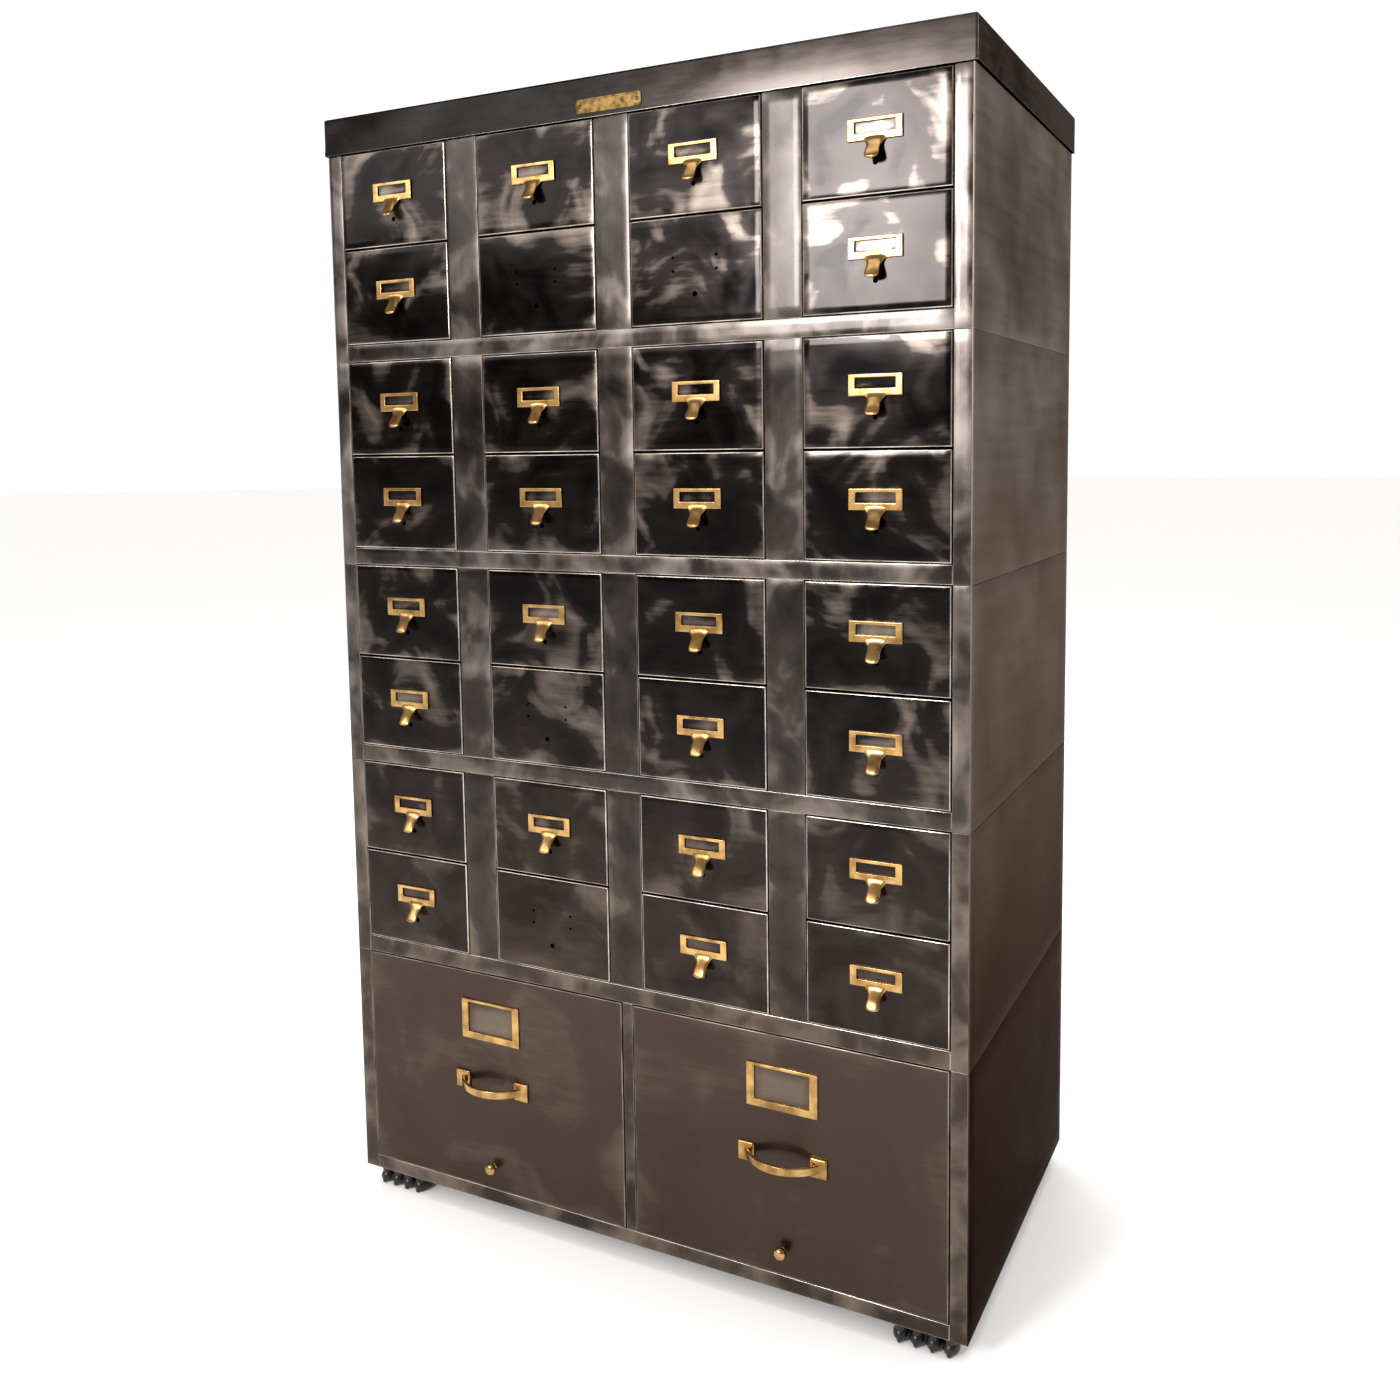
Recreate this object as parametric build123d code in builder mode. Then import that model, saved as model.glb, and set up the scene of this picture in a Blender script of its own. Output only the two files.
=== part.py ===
from build123d import *
import os

# A free-standing steel card catalog cabinet: four stacked card sections of eight drawers each,
# a base section with two file drawers, a top cap and four cast paw feet.
# Millimetres, +Z up, drawers face -Y, origin on the floor under the middle of the whole object.

# ---- Stack -------------------------------------------------------------------------------
CABINET_WIDTH = 838.0
CABINET_DEPTH = 470.0          # face of the frames to the back panels
CARD_SECTION_HEIGHT = 260.0
BASE_SECTION_HEIGHT = 306.0
CAP_HEIGHT = 46.0
CAP_OVERHANG = 3.0
FOOT_HEIGHT = 26.0
SECTIONS = 4
ROWS = 2
COLUMNS = 4

# ---- Sheet steel -------------------------------------------------------------------------
SHELL_SHEET = 1.6
TRAY_SHEET = 1.2
SHELL_EDGE_RADIUS = 1.0        # outer bend of the wrapped side panels, shows each section seam
CAP_EDGE_RADIUS = 3.0
CAP_RIM_WIDTH = 40.0           # inward flange under the cap, rests on the top section

# ---- Face frames -------------------------------------------------------------------------
STILE_WIDTH = 21.0
CARD_DIVIDER_WIDTH = 45.0
CARD_RAIL_HEIGHT = 21.0
BASE_DIVIDER_WIDTH = 14.0
BASE_RAIL_HEIGHT = 18.0
FRAME_DEPTH = 18.0

# ---- Drawer fronts -----------------------------------------------------------------------
FRONT_GAP = 1.2                # between a front and the frame, and half the gap between rows
FRONT_THICKNESS = 12.0         # depth of the folded pan
FRONT_SHEET = 1.6
FRONT_PROUD = 1.0              # how far a closed front stands ahead of the frame
FRONT_EDGE_RADIUS = 1.2
LINER_SHEET = 1.2              # inner plate that closes the back of the pan

# ---- Card drawer trays -------------------------------------------------------------------
CARD_TRAY_WIDTH = 140.0        # takes cards 127 wide
CARD_TRAY_WALL = 88.0
CARD_TRAY_LIFT = 9.0           # bottom of the tray above the bottom of its opening
TRAY_BACK_CLEARANCE = 8.0      # closed tray to the back panel
CARD_BLOCK_SIDE_GAP = 10.0     # plate to the outside of the tray, each side
CARD_BLOCK_HEIGHT = 70.0
CARD_BLOCK_FOOT = 45.0
CARD_BLOCK_SHEET = 1.6
CARD_BLOCK_BACK_GAP = 4.0
CARD_ROD_HOLE_RADIUS = 3.0
CARD_ROD_HEIGHT = 32.0         # rod hole above the bottom edge of the front

# ---- Fasteners through sheet ---------------------------------------------------------------
HOLE_CLEARANCE = 0.15          # around every stud, pin and screw shank

# ---- Card drawer pulls -------------------------------------------------------------------
PULL_WIDTH = 60.0
PULL_HEIGHT = 23.0
PULL_THICKNESS = 2.6
PULL_WINDOW_WIDTH = 44.0
PULL_WINDOW_HEIGHT = 11.0
PULL_TOP_BAR = 4.0
PULL_RISE = 7.0                # centre of the frame above the middle of the front
PULL_STUD_SPACING_X = 54.0
PULL_STUD_SPACING_Z = 15.0
PULL_STUD_RADIUS = 1.6
PULL_STUD_LENGTH = 5.0
TONGUE_WIDTH = 16.0
TONGUE_DROP = 21.0             # tip below the bottom edge of the frame
TONGUE_REACH = 16.0            # tip ahead of the front
TONGUE_THICKNESS = 2.6
TONGUE_ROOT_LEAN = 0.35        # forward run per unit of drop where the tongue leaves the frame
TONGUE_TIP_LEAN = 0.25         # the same at the tip

# ---- File drawers ------------------------------------------------------------------------
FILE_TRAY_WIDTH = 322.0        # takes letter folders
FILE_TRAY_WALL = 236.0
FILE_TRAY_LIFT = 10.0
FILE_BLOCK_SIDE_GAP = 11.0
FILE_BLOCK_HEIGHT = 190.0
FILE_BLOCK_FOOT = 70.0
FILE_BLOCK_SHEET = 2.0
FILE_BLOCK_BACK_GAP = 6.0
FILE_BLOCK_CLEARANCE = 0.4     # foot above the tray floor
ROD_RADIUS = 3.2
ROD_CLEARANCE = 0.5
ROD_HEIGHT = 32.0              # above the bottom edge of the front
ROD_NOTCH_WIDTH = 16.0         # notch in the follower over the rod
KNOB_RADIUS = 7.5
KNOB_LENGTH = 15.0
KNOB_NECK_RADIUS = 4.2
KNOB_CLEARANCE = 0.4
LABEL_WIDTH = 88.0
LABEL_HEIGHT = 52.0
LABEL_THICKNESS = 2.4
LABEL_SIDE_BAR = 10.0
LABEL_BOTTOM_BAR = 9.0
LABEL_TOP_BAR = 4.0
LABEL_DROP = 36.0              # top of the label frame below the top edge of the front
LABEL_PIN_RADIUS = 1.4
LABEL_PIN_LENGTH = 5.0
HANDLE_RISE = 141.0            # handle centre above the bottom edge of the front
HANDLE_CENTRES = 90.0
HANDLE_PAD_WIDTH = 21.0
HANDLE_PAD_HEIGHT = 24.0
HANDLE_PAD_THICKNESS = 4.0
HANDLE_REACH = 28.0
HANDLE_STRAP_HEIGHT = 10.0
HANDLE_STRAP_THICKNESS = 4.0
HANDLE_SCREW_RADIUS = 1.8
HANDLE_SCREW_HEAD_RADIUS = 4.0
HANDLE_SCREW_HEAD_HEIGHT = 2.2
HANDLE_SCREW_BITE = 3.0        # length of the screw inside the pad

# ---- Runners -----------------------------------------------------------------------------
RUNNER_SHEET = 1.0
RUNNER_CLEARANCE = 0.4         # ledge below the tray
RUNNER_LAP = 7.0               # ledge reach under the tray
GUIDE_HEIGHT = 9.0             # upstand beside the tray
GUIDE_CLEARANCE = 1.0
PARTITION_TOP_GAP = 1.0
ANGLE_LEG = 20.0               # runner angle's leg, down the side panel from the guide's top

# ---- Nameplate ---------------------------------------------------------------------------
PLATE_WIDTH = 86.0
PLATE_HEIGHT = 16.0
PLATE_THICKNESS = 1.2
PLATE_CORNER_RADIUS = 4.0
PLATE_RISE = 13.0              # centre above the bottom edge of the cap
PLATE_SCREW_SPACING = 75.0
PLATE_SCREW_RADIUS = 1.0
PLATE_SCREW_HEAD_RADIUS = 2.4
PLATE_SCREW_HEAD_HEIGHT = 0.8
PLATE_SCREW_LENGTH = 5.0

# ---- Paw feet ----------------------------------------------------------------------------
FOOT_WIDTH = 76.0
FOOT_DEPTH = 62.0
FOOT_SIDE_INSET = 14.0
FOOT_FACE_INSET = 5.0
TOES = 4
TOE_RADIUS = 10.0
TOE_SOLE_CUT = 1.5             # how much of each round toe is flattened into a sole
ANKLE_HEIGHT = 17.0
ANKLE_INSET = 6.0

# ---- Places worked out from the sizes above ------------------------------------------------
FACE_Y = (FRONT_PROUD + HANDLE_REACH - CABINET_DEPTH - CAP_OVERHANG) / 2
BASE_BOTTOM = FOOT_HEIGHT
CARDS_BOTTOM = BASE_BOTTOM + BASE_SECTION_HEIGHT
CAP_BOTTOM = CARDS_BOTTOM + SECTIONS * CARD_SECTION_HEIGHT
CARD_OPENING_WIDTH = (
    CABINET_WIDTH - 2 * STILE_WIDTH - (COLUMNS - 1) * CARD_DIVIDER_WIDTH
) / COLUMNS
CARD_OPENING_HEIGHT = (CARD_SECTION_HEIGHT - CARD_RAIL_HEIGHT) / ROWS
CARD_PITCH = CARD_OPENING_WIDTH + CARD_DIVIDER_WIDTH
FILE_OPENING_WIDTH = (CABINET_WIDTH - 2 * STILE_WIDTH - BASE_DIVIDER_WIDTH) / 2
FILE_OPENING_HEIGHT = BASE_SECTION_HEIGHT - BASE_RAIL_HEIGHT
FILE_PITCH = FILE_OPENING_WIDTH + BASE_DIVIDER_WIDTH
TRAY_START = FRONT_THICKNESS - FRONT_PROUD
TRAY_LENGTH = CABINET_DEPTH - SHELL_SHEET - TRAY_BACK_CLEARANCE - TRAY_START
CARD_BLOCK_WIDTH = CARD_TRAY_WIDTH - 2 * CARD_BLOCK_SIDE_GAP
FILE_BLOCK_WIDTH = FILE_TRAY_WIDTH - 2 * FILE_BLOCK_SIDE_GAP
CARD_FRONT_HEIGHT = CARD_OPENING_HEIGHT - 2 * FRONT_GAP
FILE_FRONT_HEIGHT = FILE_OPENING_HEIGHT - 2 * FRONT_GAP
PULL_CENTRE_Z = CARD_OPENING_HEIGHT / 2 + PULL_RISE

# Drawers whose pull is missing, as (section from the top, row from the top, column from the left).
BARE_DRAWERS = [(1, 2, 2), (1, 2, 3), (3, 2, 2), (4, 2, 2)]

os.makedirs("parts", exist_ok=True)


def opening_x(column, columns, pitch):
    """Middle of a drawer column, counted from the left."""
    return (column - (columns + 1) / 2) * pitch


def card_opening_z(section, row):
    """Bottom of a card drawer opening, section and row counted from the top."""
    section_bottom = CARDS_BOTTOM + (SECTIONS - section) * CARD_SECTION_HEIGHT
    return section_bottom + CARD_RAIL_HEIGHT + (ROWS - row) * CARD_OPENING_HEIGHT


def save(shape, name):
    """Label a finished piece and write it under its own name."""
    shape.label = name
    export_step(shape, f"parts/{name}.step")


# ---- Section shells ------------------------------------------------------------------------
def section_shell(height):
    """Side panels, back and floor of one section in one wrap, open in front and on top."""
    with BuildPart() as shell:
        with Locations((0, CABINET_DEPTH / 2, 0)):
            Box(
                CABINET_WIDTH,
                CABINET_DEPTH,
                height,
                align=(Align.CENTER, Align.CENTER, Align.MIN),
            )
        fillet(shell.edges().filter_by(Axis.Z), radius=SHELL_EDGE_RADIUS)
        chamfer(shell.faces().sort_by(Axis.Z)[0].edges(), length=SHELL_EDGE_RADIUS / 2)
        with Locations((0, (CABINET_DEPTH - SHELL_SHEET) / 2, SHELL_SHEET)):
            Box(
                CABINET_WIDTH - 2 * SHELL_SHEET,
                CABINET_DEPTH - SHELL_SHEET,
                height,
                align=(Align.CENTER, Align.CENTER, Align.MIN),
                mode=Mode.SUBTRACT,
            )
        Box(
            CABINET_WIDTH - 2 * SHELL_SHEET,
            2 * FRAME_DEPTH,
            2 * SHELL_SHEET,
            mode=Mode.SUBTRACT,
        )
    return shell.part


def face_frame(height, rail_height, divider_width, columns):
    """Two stiles, the dividers and a bottom rail, folded as channels open to the back."""
    width = CABINET_WIDTH - 2 * SHELL_SHEET
    stile = STILE_WIDTH - SHELL_SHEET
    opening_width = (width - 2 * stile - (columns - 1) * divider_width) / columns
    pitch = opening_width + divider_width
    channel_depth = FRAME_DEPTH - SHELL_SHEET
    hollow_y = SHELL_SHEET + channel_depth / 2
    bottom_up = (Align.CENTER, Align.CENTER, Align.MIN)
    with BuildPart() as frame:
        with BuildSketch(Plane.XZ):
            with Locations((0, height / 2)):
                Rectangle(width, height)
            for column in range(1, columns + 1):
                with Locations((opening_x(column, columns, pitch), rail_height)):
                    Rectangle(
                        opening_width,
                        height,
                        align=(Align.CENTER, Align.MIN),
                        mode=Mode.SUBTRACT,
                    )
        extrude(amount=-FRAME_DEPTH)
        with Locations((0, hollow_y, SHELL_SHEET)):
            Box(
                width - 2 * SHELL_SHEET,
                channel_depth,
                rail_height - 2 * SHELL_SHEET,
                align=bottom_up,
                mode=Mode.SUBTRACT,
            )
        stile_x = (width - stile) / 2
        with Locations((-stile_x, hollow_y, SHELL_SHEET), (stile_x, hollow_y, SHELL_SHEET)):
            Box(
                stile - 2 * SHELL_SHEET,
                channel_depth,
                height - 2 * SHELL_SHEET,
                align=bottom_up,
                mode=Mode.SUBTRACT,
            )
        for divider in range(1, columns):
            divider_x = opening_x(divider, columns, pitch) + pitch / 2
            with Locations((divider_x, hollow_y, SHELL_SHEET)):
                Box(
                    divider_width - 2 * SHELL_SHEET,
                    channel_depth,
                    height - 2 * SHELL_SHEET,
                    align=bottom_up,
                    mode=Mode.SUBTRACT,
                )
    return frame.part


# ---- Runners -------------------------------------------------------------------------------
def add_ledge(wall_x, tray_x, toward, ledge_top):
    """One ledge with its guide upstand, from a wall at wall_x to under a tray edge at tray_x."""
    length = CABINET_DEPTH - SHELL_SHEET - FRAME_DEPTH
    reach = abs(tray_x - wall_x) + RUNNER_LAP
    middle_y = FRAME_DEPTH + length / 2
    with Locations((wall_x + toward * reach / 2, middle_y, ledge_top - RUNNER_SHEET / 2)):
        Box(reach, length, RUNNER_SHEET)
    guide_x = tray_x - toward * (GUIDE_CLEARANCE + RUNNER_SHEET / 2)
    with Locations((guide_x, middle_y, ledge_top)):
        Box(RUNNER_SHEET, length, GUIDE_HEIGHT, align=(Align.CENTER, Align.CENTER, Align.MIN))


def runner_partition(width, height, gap_to_tray, ledge_tops):
    """Box partition behind a divider, with a ledge on each side for every row."""
    length = CABINET_DEPTH - SHELL_SHEET - FRAME_DEPTH
    place = (0, FRAME_DEPTH + length / 2, SHELL_SHEET)
    bottom_up = (Align.CENTER, Align.CENTER, Align.MIN)
    wall_height = height - SHELL_SHEET - PARTITION_TOP_GAP
    with BuildPart() as partition:
        with Locations(place):
            Box(width, length, wall_height, align=bottom_up)
        for ledge_top in ledge_tops:
            add_ledge(width / 2, width / 2 + gap_to_tray, 1, ledge_top)
            add_ledge(-width / 2, -width / 2 - gap_to_tray, -1, ledge_top)
        with Locations((place[0], place[1], SHELL_SHEET + RUNNER_SHEET)):
            Box(
                width - 2 * RUNNER_SHEET,
                length,
                wall_height - 2 * RUNNER_SHEET,
                align=bottom_up,
                mode=Mode.SUBTRACT,
            )
    return partition.part


def side_runner(side, tray_x, ledge_top):
    """Runner angle on a side panel: a leg against the panel and a ledge under the tray."""
    length = CABINET_DEPTH - SHELL_SHEET - FRAME_DEPTH
    wall_x = side * (CABINET_WIDTH / 2 - SHELL_SHEET)
    with BuildPart() as runner:
        add_ledge(wall_x, tray_x, -side, ledge_top)
        with Locations(
            (
                wall_x - side * RUNNER_SHEET / 2,
                FRAME_DEPTH + length / 2,
                ledge_top + GUIDE_HEIGHT - ANGLE_LEG / 2,
            )
        ):
            Box(RUNNER_SHEET, length, ANGLE_LEG)
    return runner.part


# ---- Drawers -------------------------------------------------------------------------------
def drawer_front(width, height, holes):
    """Folded pan that closes an opening, drilled at each (x, z, radius)."""
    with BuildPart() as front:
        with Locations((0, FRONT_THICKNESS / 2 - FRONT_PROUD, FRONT_GAP)):
            Box(
                width,
                FRONT_THICKNESS,
                height,
                align=(Align.CENTER, Align.CENTER, Align.MIN),
            )
        face_edges = front.faces().sort_by(Axis.Y)[0].edges()
        fillet(face_edges, radius=FRONT_EDGE_RADIUS)
        with Locations((0, FRONT_THICKNESS / 2 - FRONT_PROUD + FRONT_SHEET, FRONT_GAP + height / 2)):
            Box(
                width - 2 * FRONT_SHEET,
                FRONT_THICKNESS,
                height - 2 * FRONT_SHEET,
                mode=Mode.SUBTRACT,
            )
        for x, z, radius in holes:
            with Locations(Plane.XZ.location * Location((x, z, 0))):
                Cylinder(radius, 2 * FRONT_THICKNESS, mode=Mode.SUBTRACT)
    return front.part


def front_liner(width, height, rod_hole_radius, rod_height):
    """Flat plate inside the back of the pan, which carries the tray."""
    with BuildPart() as liner:
        with Locations((0, TRAY_START - LINER_SHEET / 2, FRONT_GAP + height / 2)):
            Box(width - 2 * FRONT_SHEET, LINER_SHEET, height - 2 * FRONT_SHEET)
        with Locations(Plane.XZ.location * Location((0, FRONT_GAP + rod_height, -TRAY_START))):
            Cylinder(rod_hole_radius, 4 * LINER_SHEET, mode=Mode.SUBTRACT)
    return liner.part


def drawer_tray(width, wall_height, lift, rod_hole_radius, rod_height, back_hole):
    """Open-topped tray behind a front; the rod passes its front wall and, if asked, its back."""
    bottom_up = (Align.CENTER, Align.CENTER, Align.MIN)
    middle_y = TRAY_START + TRAY_LENGTH / 2
    with BuildPart() as tray:
        with Locations((0, middle_y, lift)):
            Box(width, TRAY_LENGTH, wall_height, align=bottom_up)
        with Locations((0, middle_y, lift + TRAY_SHEET)):
            Box(
                width - 2 * TRAY_SHEET,
                TRAY_LENGTH - 2 * TRAY_SHEET,
                wall_height,
                align=bottom_up,
                mode=Mode.SUBTRACT,
            )
        hole_ends = [TRAY_START]
        if back_hole:
            hole_ends.append(TRAY_START + TRAY_LENGTH)
        for end_y in hole_ends:
            with Locations(
                Plane.XZ.location * Location((0, FRONT_GAP + rod_height, -end_y))
            ):
                Cylinder(rod_hole_radius, 4 * TRAY_SHEET, mode=Mode.SUBTRACT)
    return tray.part


def follower_block(width, height, foot, sheet, back_gap, floor_z, notch_width, notch_top):
    """Bent plate that holds the cards or folders upright, with a notch over the rod."""
    upright_y = TRAY_START + TRAY_LENGTH - TRAY_SHEET - back_gap - foot
    bottom_up = (Align.CENTER, Align.MIN, Align.MIN)
    with BuildPart() as block:
        with Locations((0, upright_y, floor_z)):
            Box(width, sheet, height, align=bottom_up)
            Box(width, foot, sheet, align=bottom_up)
        if notch_width > 0:
            with Locations((0, upright_y, floor_z)):
                Box(
                    notch_width,
                    sheet,
                    notch_top - floor_z,
                    align=bottom_up,
                    mode=Mode.SUBTRACT,
                )
                Box(notch_width, foot, sheet, align=bottom_up, mode=Mode.SUBTRACT)
    return block.part


# ---- Card drawer pull ----------------------------------------------------------------------
def pull_stud_places():
    """Centres of the four studs on the front, as (x, z)."""
    half_x = PULL_STUD_SPACING_X / 2
    half_z = PULL_STUD_SPACING_Z / 2
    return [(x, PULL_CENTRE_Z + z) for x in (-half_x, half_x) for z in (-half_z, half_z)]


def card_pull():
    """Cast label frame with a curved finger tongue below it and four studs behind."""
    face_y = -FRONT_PROUD
    bottom_z = PULL_CENTRE_Z - PULL_HEIGHT / 2
    window_z = PULL_CENTRE_Z + PULL_HEIGHT / 2 - PULL_TOP_BAR - PULL_WINDOW_HEIGHT / 2
    with BuildPart() as pull:
        with Locations((0, face_y - PULL_THICKNESS / 2, PULL_CENTRE_Z)):
            Box(PULL_WIDTH, PULL_THICKNESS, PULL_HEIGHT)
        with Locations((0, face_y - PULL_THICKNESS / 2, window_z)):
            Box(PULL_WINDOW_WIDTH, 2 * PULL_THICKNESS, PULL_WINDOW_HEIGHT, mode=Mode.SUBTRACT)
        root_z = bottom_z + TONGUE_THICKNESS
        tip_y = face_y - TONGUE_REACH
        tip_z = bottom_z - TONGUE_DROP
        with BuildSketch(Plane.YZ.offset(-TONGUE_WIDTH / 2)):
            with BuildLine():
                back = Line((face_y - PULL_THICKNESS, root_z), (face_y, bottom_z))
                under = TangentArc(
                    back @ 1,
                    (tip_y + TONGUE_THICKNESS, tip_z),
                    tangent=(-TONGUE_ROOT_LEAN, -1),
                )
                tip = Line(under @ 1, (tip_y, tip_z))
                TangentArc(tip @ 1, back @ 0, tangent=(TONGUE_TIP_LEAN, 1))
            make_face()
        extrude(amount=TONGUE_WIDTH)
        for x, z in pull_stud_places():
            with Locations(Plane.XZ.location * Location((x, z, -face_y))):
                Cylinder(
                    PULL_STUD_RADIUS,
                    PULL_STUD_LENGTH,
                    align=(Align.CENTER, Align.CENTER, Align.MAX),
                )
    return pull.part


# ---- File drawer hardware ------------------------------------------------------------------
def file_label_frame():
    """Brass card frame on a file drawer, with two pins through the front."""
    face_y = -FRONT_PROUD
    top_z = FRONT_GAP + FILE_FRONT_HEIGHT - LABEL_DROP
    window_height = LABEL_HEIGHT - LABEL_TOP_BAR - LABEL_BOTTOM_BAR
    with BuildPart() as label:
        with Locations((0, face_y - LABEL_THICKNESS / 2, top_z - LABEL_HEIGHT / 2)):
            Box(LABEL_WIDTH, LABEL_THICKNESS, LABEL_HEIGHT)
        with Locations(
            (0, face_y - LABEL_THICKNESS / 2, top_z - LABEL_TOP_BAR - window_height / 2)
        ):
            Box(
                LABEL_WIDTH - 2 * LABEL_SIDE_BAR,
                2 * LABEL_THICKNESS,
                window_height,
                mode=Mode.SUBTRACT,
            )
        for x, z in label_pin_places():
            with Locations(Plane.XZ.location * Location((x, z, -face_y))):
                Cylinder(
                    LABEL_PIN_RADIUS,
                    LABEL_PIN_LENGTH,
                    align=(Align.CENTER, Align.CENTER, Align.MAX),
                )
    return label.part


def label_pin_places():
    """Centres of the label frame's pins on a file drawer front, as (x, z)."""
    x = (LABEL_WIDTH - LABEL_SIDE_BAR) / 2
    z = FRONT_GAP + FILE_FRONT_HEIGHT - LABEL_DROP - LABEL_HEIGHT / 2
    return [(-x, z), (x, z)]


def handle_screw_places():
    """Centres of the handle's two screws on a file drawer front, as (x, z)."""
    z = FRONT_GAP + HANDLE_RISE
    return [(-HANDLE_CENTRES / 2, z), (HANDLE_CENTRES / 2, z)]


def bow_handle():
    """Two square pads joined by a flat strap that bows forward, tapped from behind."""
    face_y = -FRONT_PROUD
    pad_y = face_y - HANDLE_PAD_THICKNESS / 2
    outer_half = (HANDLE_CENTRES + HANDLE_STRAP_THICKNESS) / 2
    inner_half = (HANDLE_CENTRES - HANDLE_STRAP_THICKNESS) / 2
    front_y = face_y - HANDLE_REACH
    strap_bottom = FRONT_GAP + HANDLE_RISE - HANDLE_STRAP_HEIGHT / 2
    with BuildPart() as handle:
        with BuildSketch(Plane.XY.offset(strap_bottom)):
            with BuildLine():
                outer = ThreePointArc((-outer_half, face_y), (0, front_y), (outer_half, face_y))
                right = Line(outer @ 1, (inner_half, face_y))
                inner = ThreePointArc(
                    right @ 1,
                    (0, front_y + HANDLE_STRAP_THICKNESS),
                    (-inner_half, face_y),
                )
                Line(inner @ 1, outer @ 0)
            make_face()
        extrude(amount=HANDLE_STRAP_HEIGHT)
        for x, z in handle_screw_places():
            with Locations((x, pad_y, z)):
                Box(HANDLE_PAD_WIDTH, HANDLE_PAD_THICKNESS, HANDLE_PAD_HEIGHT)
        for x, z in handle_screw_places():
            with Locations(Plane.XZ.location * Location((x, z, -face_y))):
                Cylinder(
                    HANDLE_SCREW_RADIUS + HOLE_CLEARANCE,
                    2 * HANDLE_SCREW_BITE,
                    mode=Mode.SUBTRACT,
                )
    return handle.part


def round_screw(radius, length, head_radius, head_height):
    """Round-headed screw: the head's seat at the origin, head along -Y, shank along +Y."""
    with BuildPart() as screw:
        with Locations(Location((0, 0, 0), (90, 0, 0))):
            Cylinder(head_radius, head_height, align=(Align.CENTER, Align.CENTER, Align.MIN))
        fillet(screw.edges().sort_by(Axis.Y)[0], radius=head_height / 2)
        with Locations(Location((0, 0, 0), (90, 0, 0))):
            Cylinder(radius, length, align=(Align.CENTER, Align.CENTER, Align.MAX))
    return screw.part


def index_rod():
    """Rod along the bottom of a file drawer, with a turned knob outside the front."""
    knob_back = -FRONT_PROUD - KNOB_CLEARANCE
    rod_end = TRAY_START + TRAY_LENGTH - TRAY_SHEET / 2
    along = (Align.CENTER, Align.CENTER, Align.MIN)
    with BuildPart() as rod:
        with Locations(Location((0, rod_end, 0), (90, 0, 0))):
            Cylinder(ROD_RADIUS, rod_end - knob_back + KNOB_LENGTH / 2, align=along)
        with Locations(Location((0, knob_back, 0), (90, 0, 0))):
            Cylinder(KNOB_NECK_RADIUS, KNOB_LENGTH / 2, align=along)
        with Locations((0, knob_back - KNOB_LENGTH + KNOB_RADIUS, 0)):
            Sphere(KNOB_RADIUS)
    return rod.part.moved(Location((0, 0, FRONT_GAP + ROD_HEIGHT)))


# ---- Cap, nameplate and feet ---------------------------------------------------------------
def top_cap():
    """Shallow folded cap over the top section, hollow, with a flange turned in underneath."""
    width = CABINET_WIDTH + 2 * CAP_OVERHANG
    depth = CABINET_DEPTH + 2 * CAP_OVERHANG
    bottom_up = (Align.CENTER, Align.CENTER, Align.MIN)
    with BuildPart() as cap:
        with Locations((0, CABINET_DEPTH / 2, 0)):
            Box(width, depth, CAP_HEIGHT, align=bottom_up)
        fillet(cap.edges().filter_by(Axis.Z), radius=CAP_EDGE_RADIUS)
        fillet(cap.faces().sort_by(Axis.Z)[-1].edges(), radius=CAP_EDGE_RADIUS)
        with Locations((0, CABINET_DEPTH / 2, SHELL_SHEET)):
            Box(
                width - 2 * CAP_EDGE_RADIUS,
                depth - 2 * CAP_EDGE_RADIUS,
                CAP_HEIGHT - SHELL_SHEET - CAP_EDGE_RADIUS,
                align=bottom_up,
                mode=Mode.SUBTRACT,
            )
        with Locations((0, CABINET_DEPTH / 2, 0)):
            Box(
                width - 2 * CAP_RIM_WIDTH,
                depth - 2 * CAP_RIM_WIDTH,
                2 * SHELL_SHEET,
                mode=Mode.SUBTRACT,
            )
        for x in (-PLATE_SCREW_SPACING / 2, PLATE_SCREW_SPACING / 2):
            with Locations(Plane.XZ.location * Location((x, PLATE_RISE, CAP_OVERHANG))):
                Cylinder(
                    PLATE_SCREW_RADIUS + HOLE_CLEARANCE,
                    4 * CAP_EDGE_RADIUS,
                    mode=Mode.SUBTRACT,
                )
    return cap.part


def nameplate():
    """Plain brass plate on the cap."""
    with BuildPart() as plate:
        with BuildSketch(Plane.XZ.offset(CAP_OVERHANG)):
            with Locations((0, PLATE_RISE)):
                RectangleRounded(PLATE_WIDTH, PLATE_HEIGHT, PLATE_CORNER_RADIUS)
            with Locations(
                (-PLATE_SCREW_SPACING / 2, PLATE_RISE), (PLATE_SCREW_SPACING / 2, PLATE_RISE)
            ):
                Circle(PLATE_SCREW_RADIUS + HOLE_CLEARANCE, mode=Mode.SUBTRACT)
        extrude(amount=PLATE_THICKNESS)
    return plate.part


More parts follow.
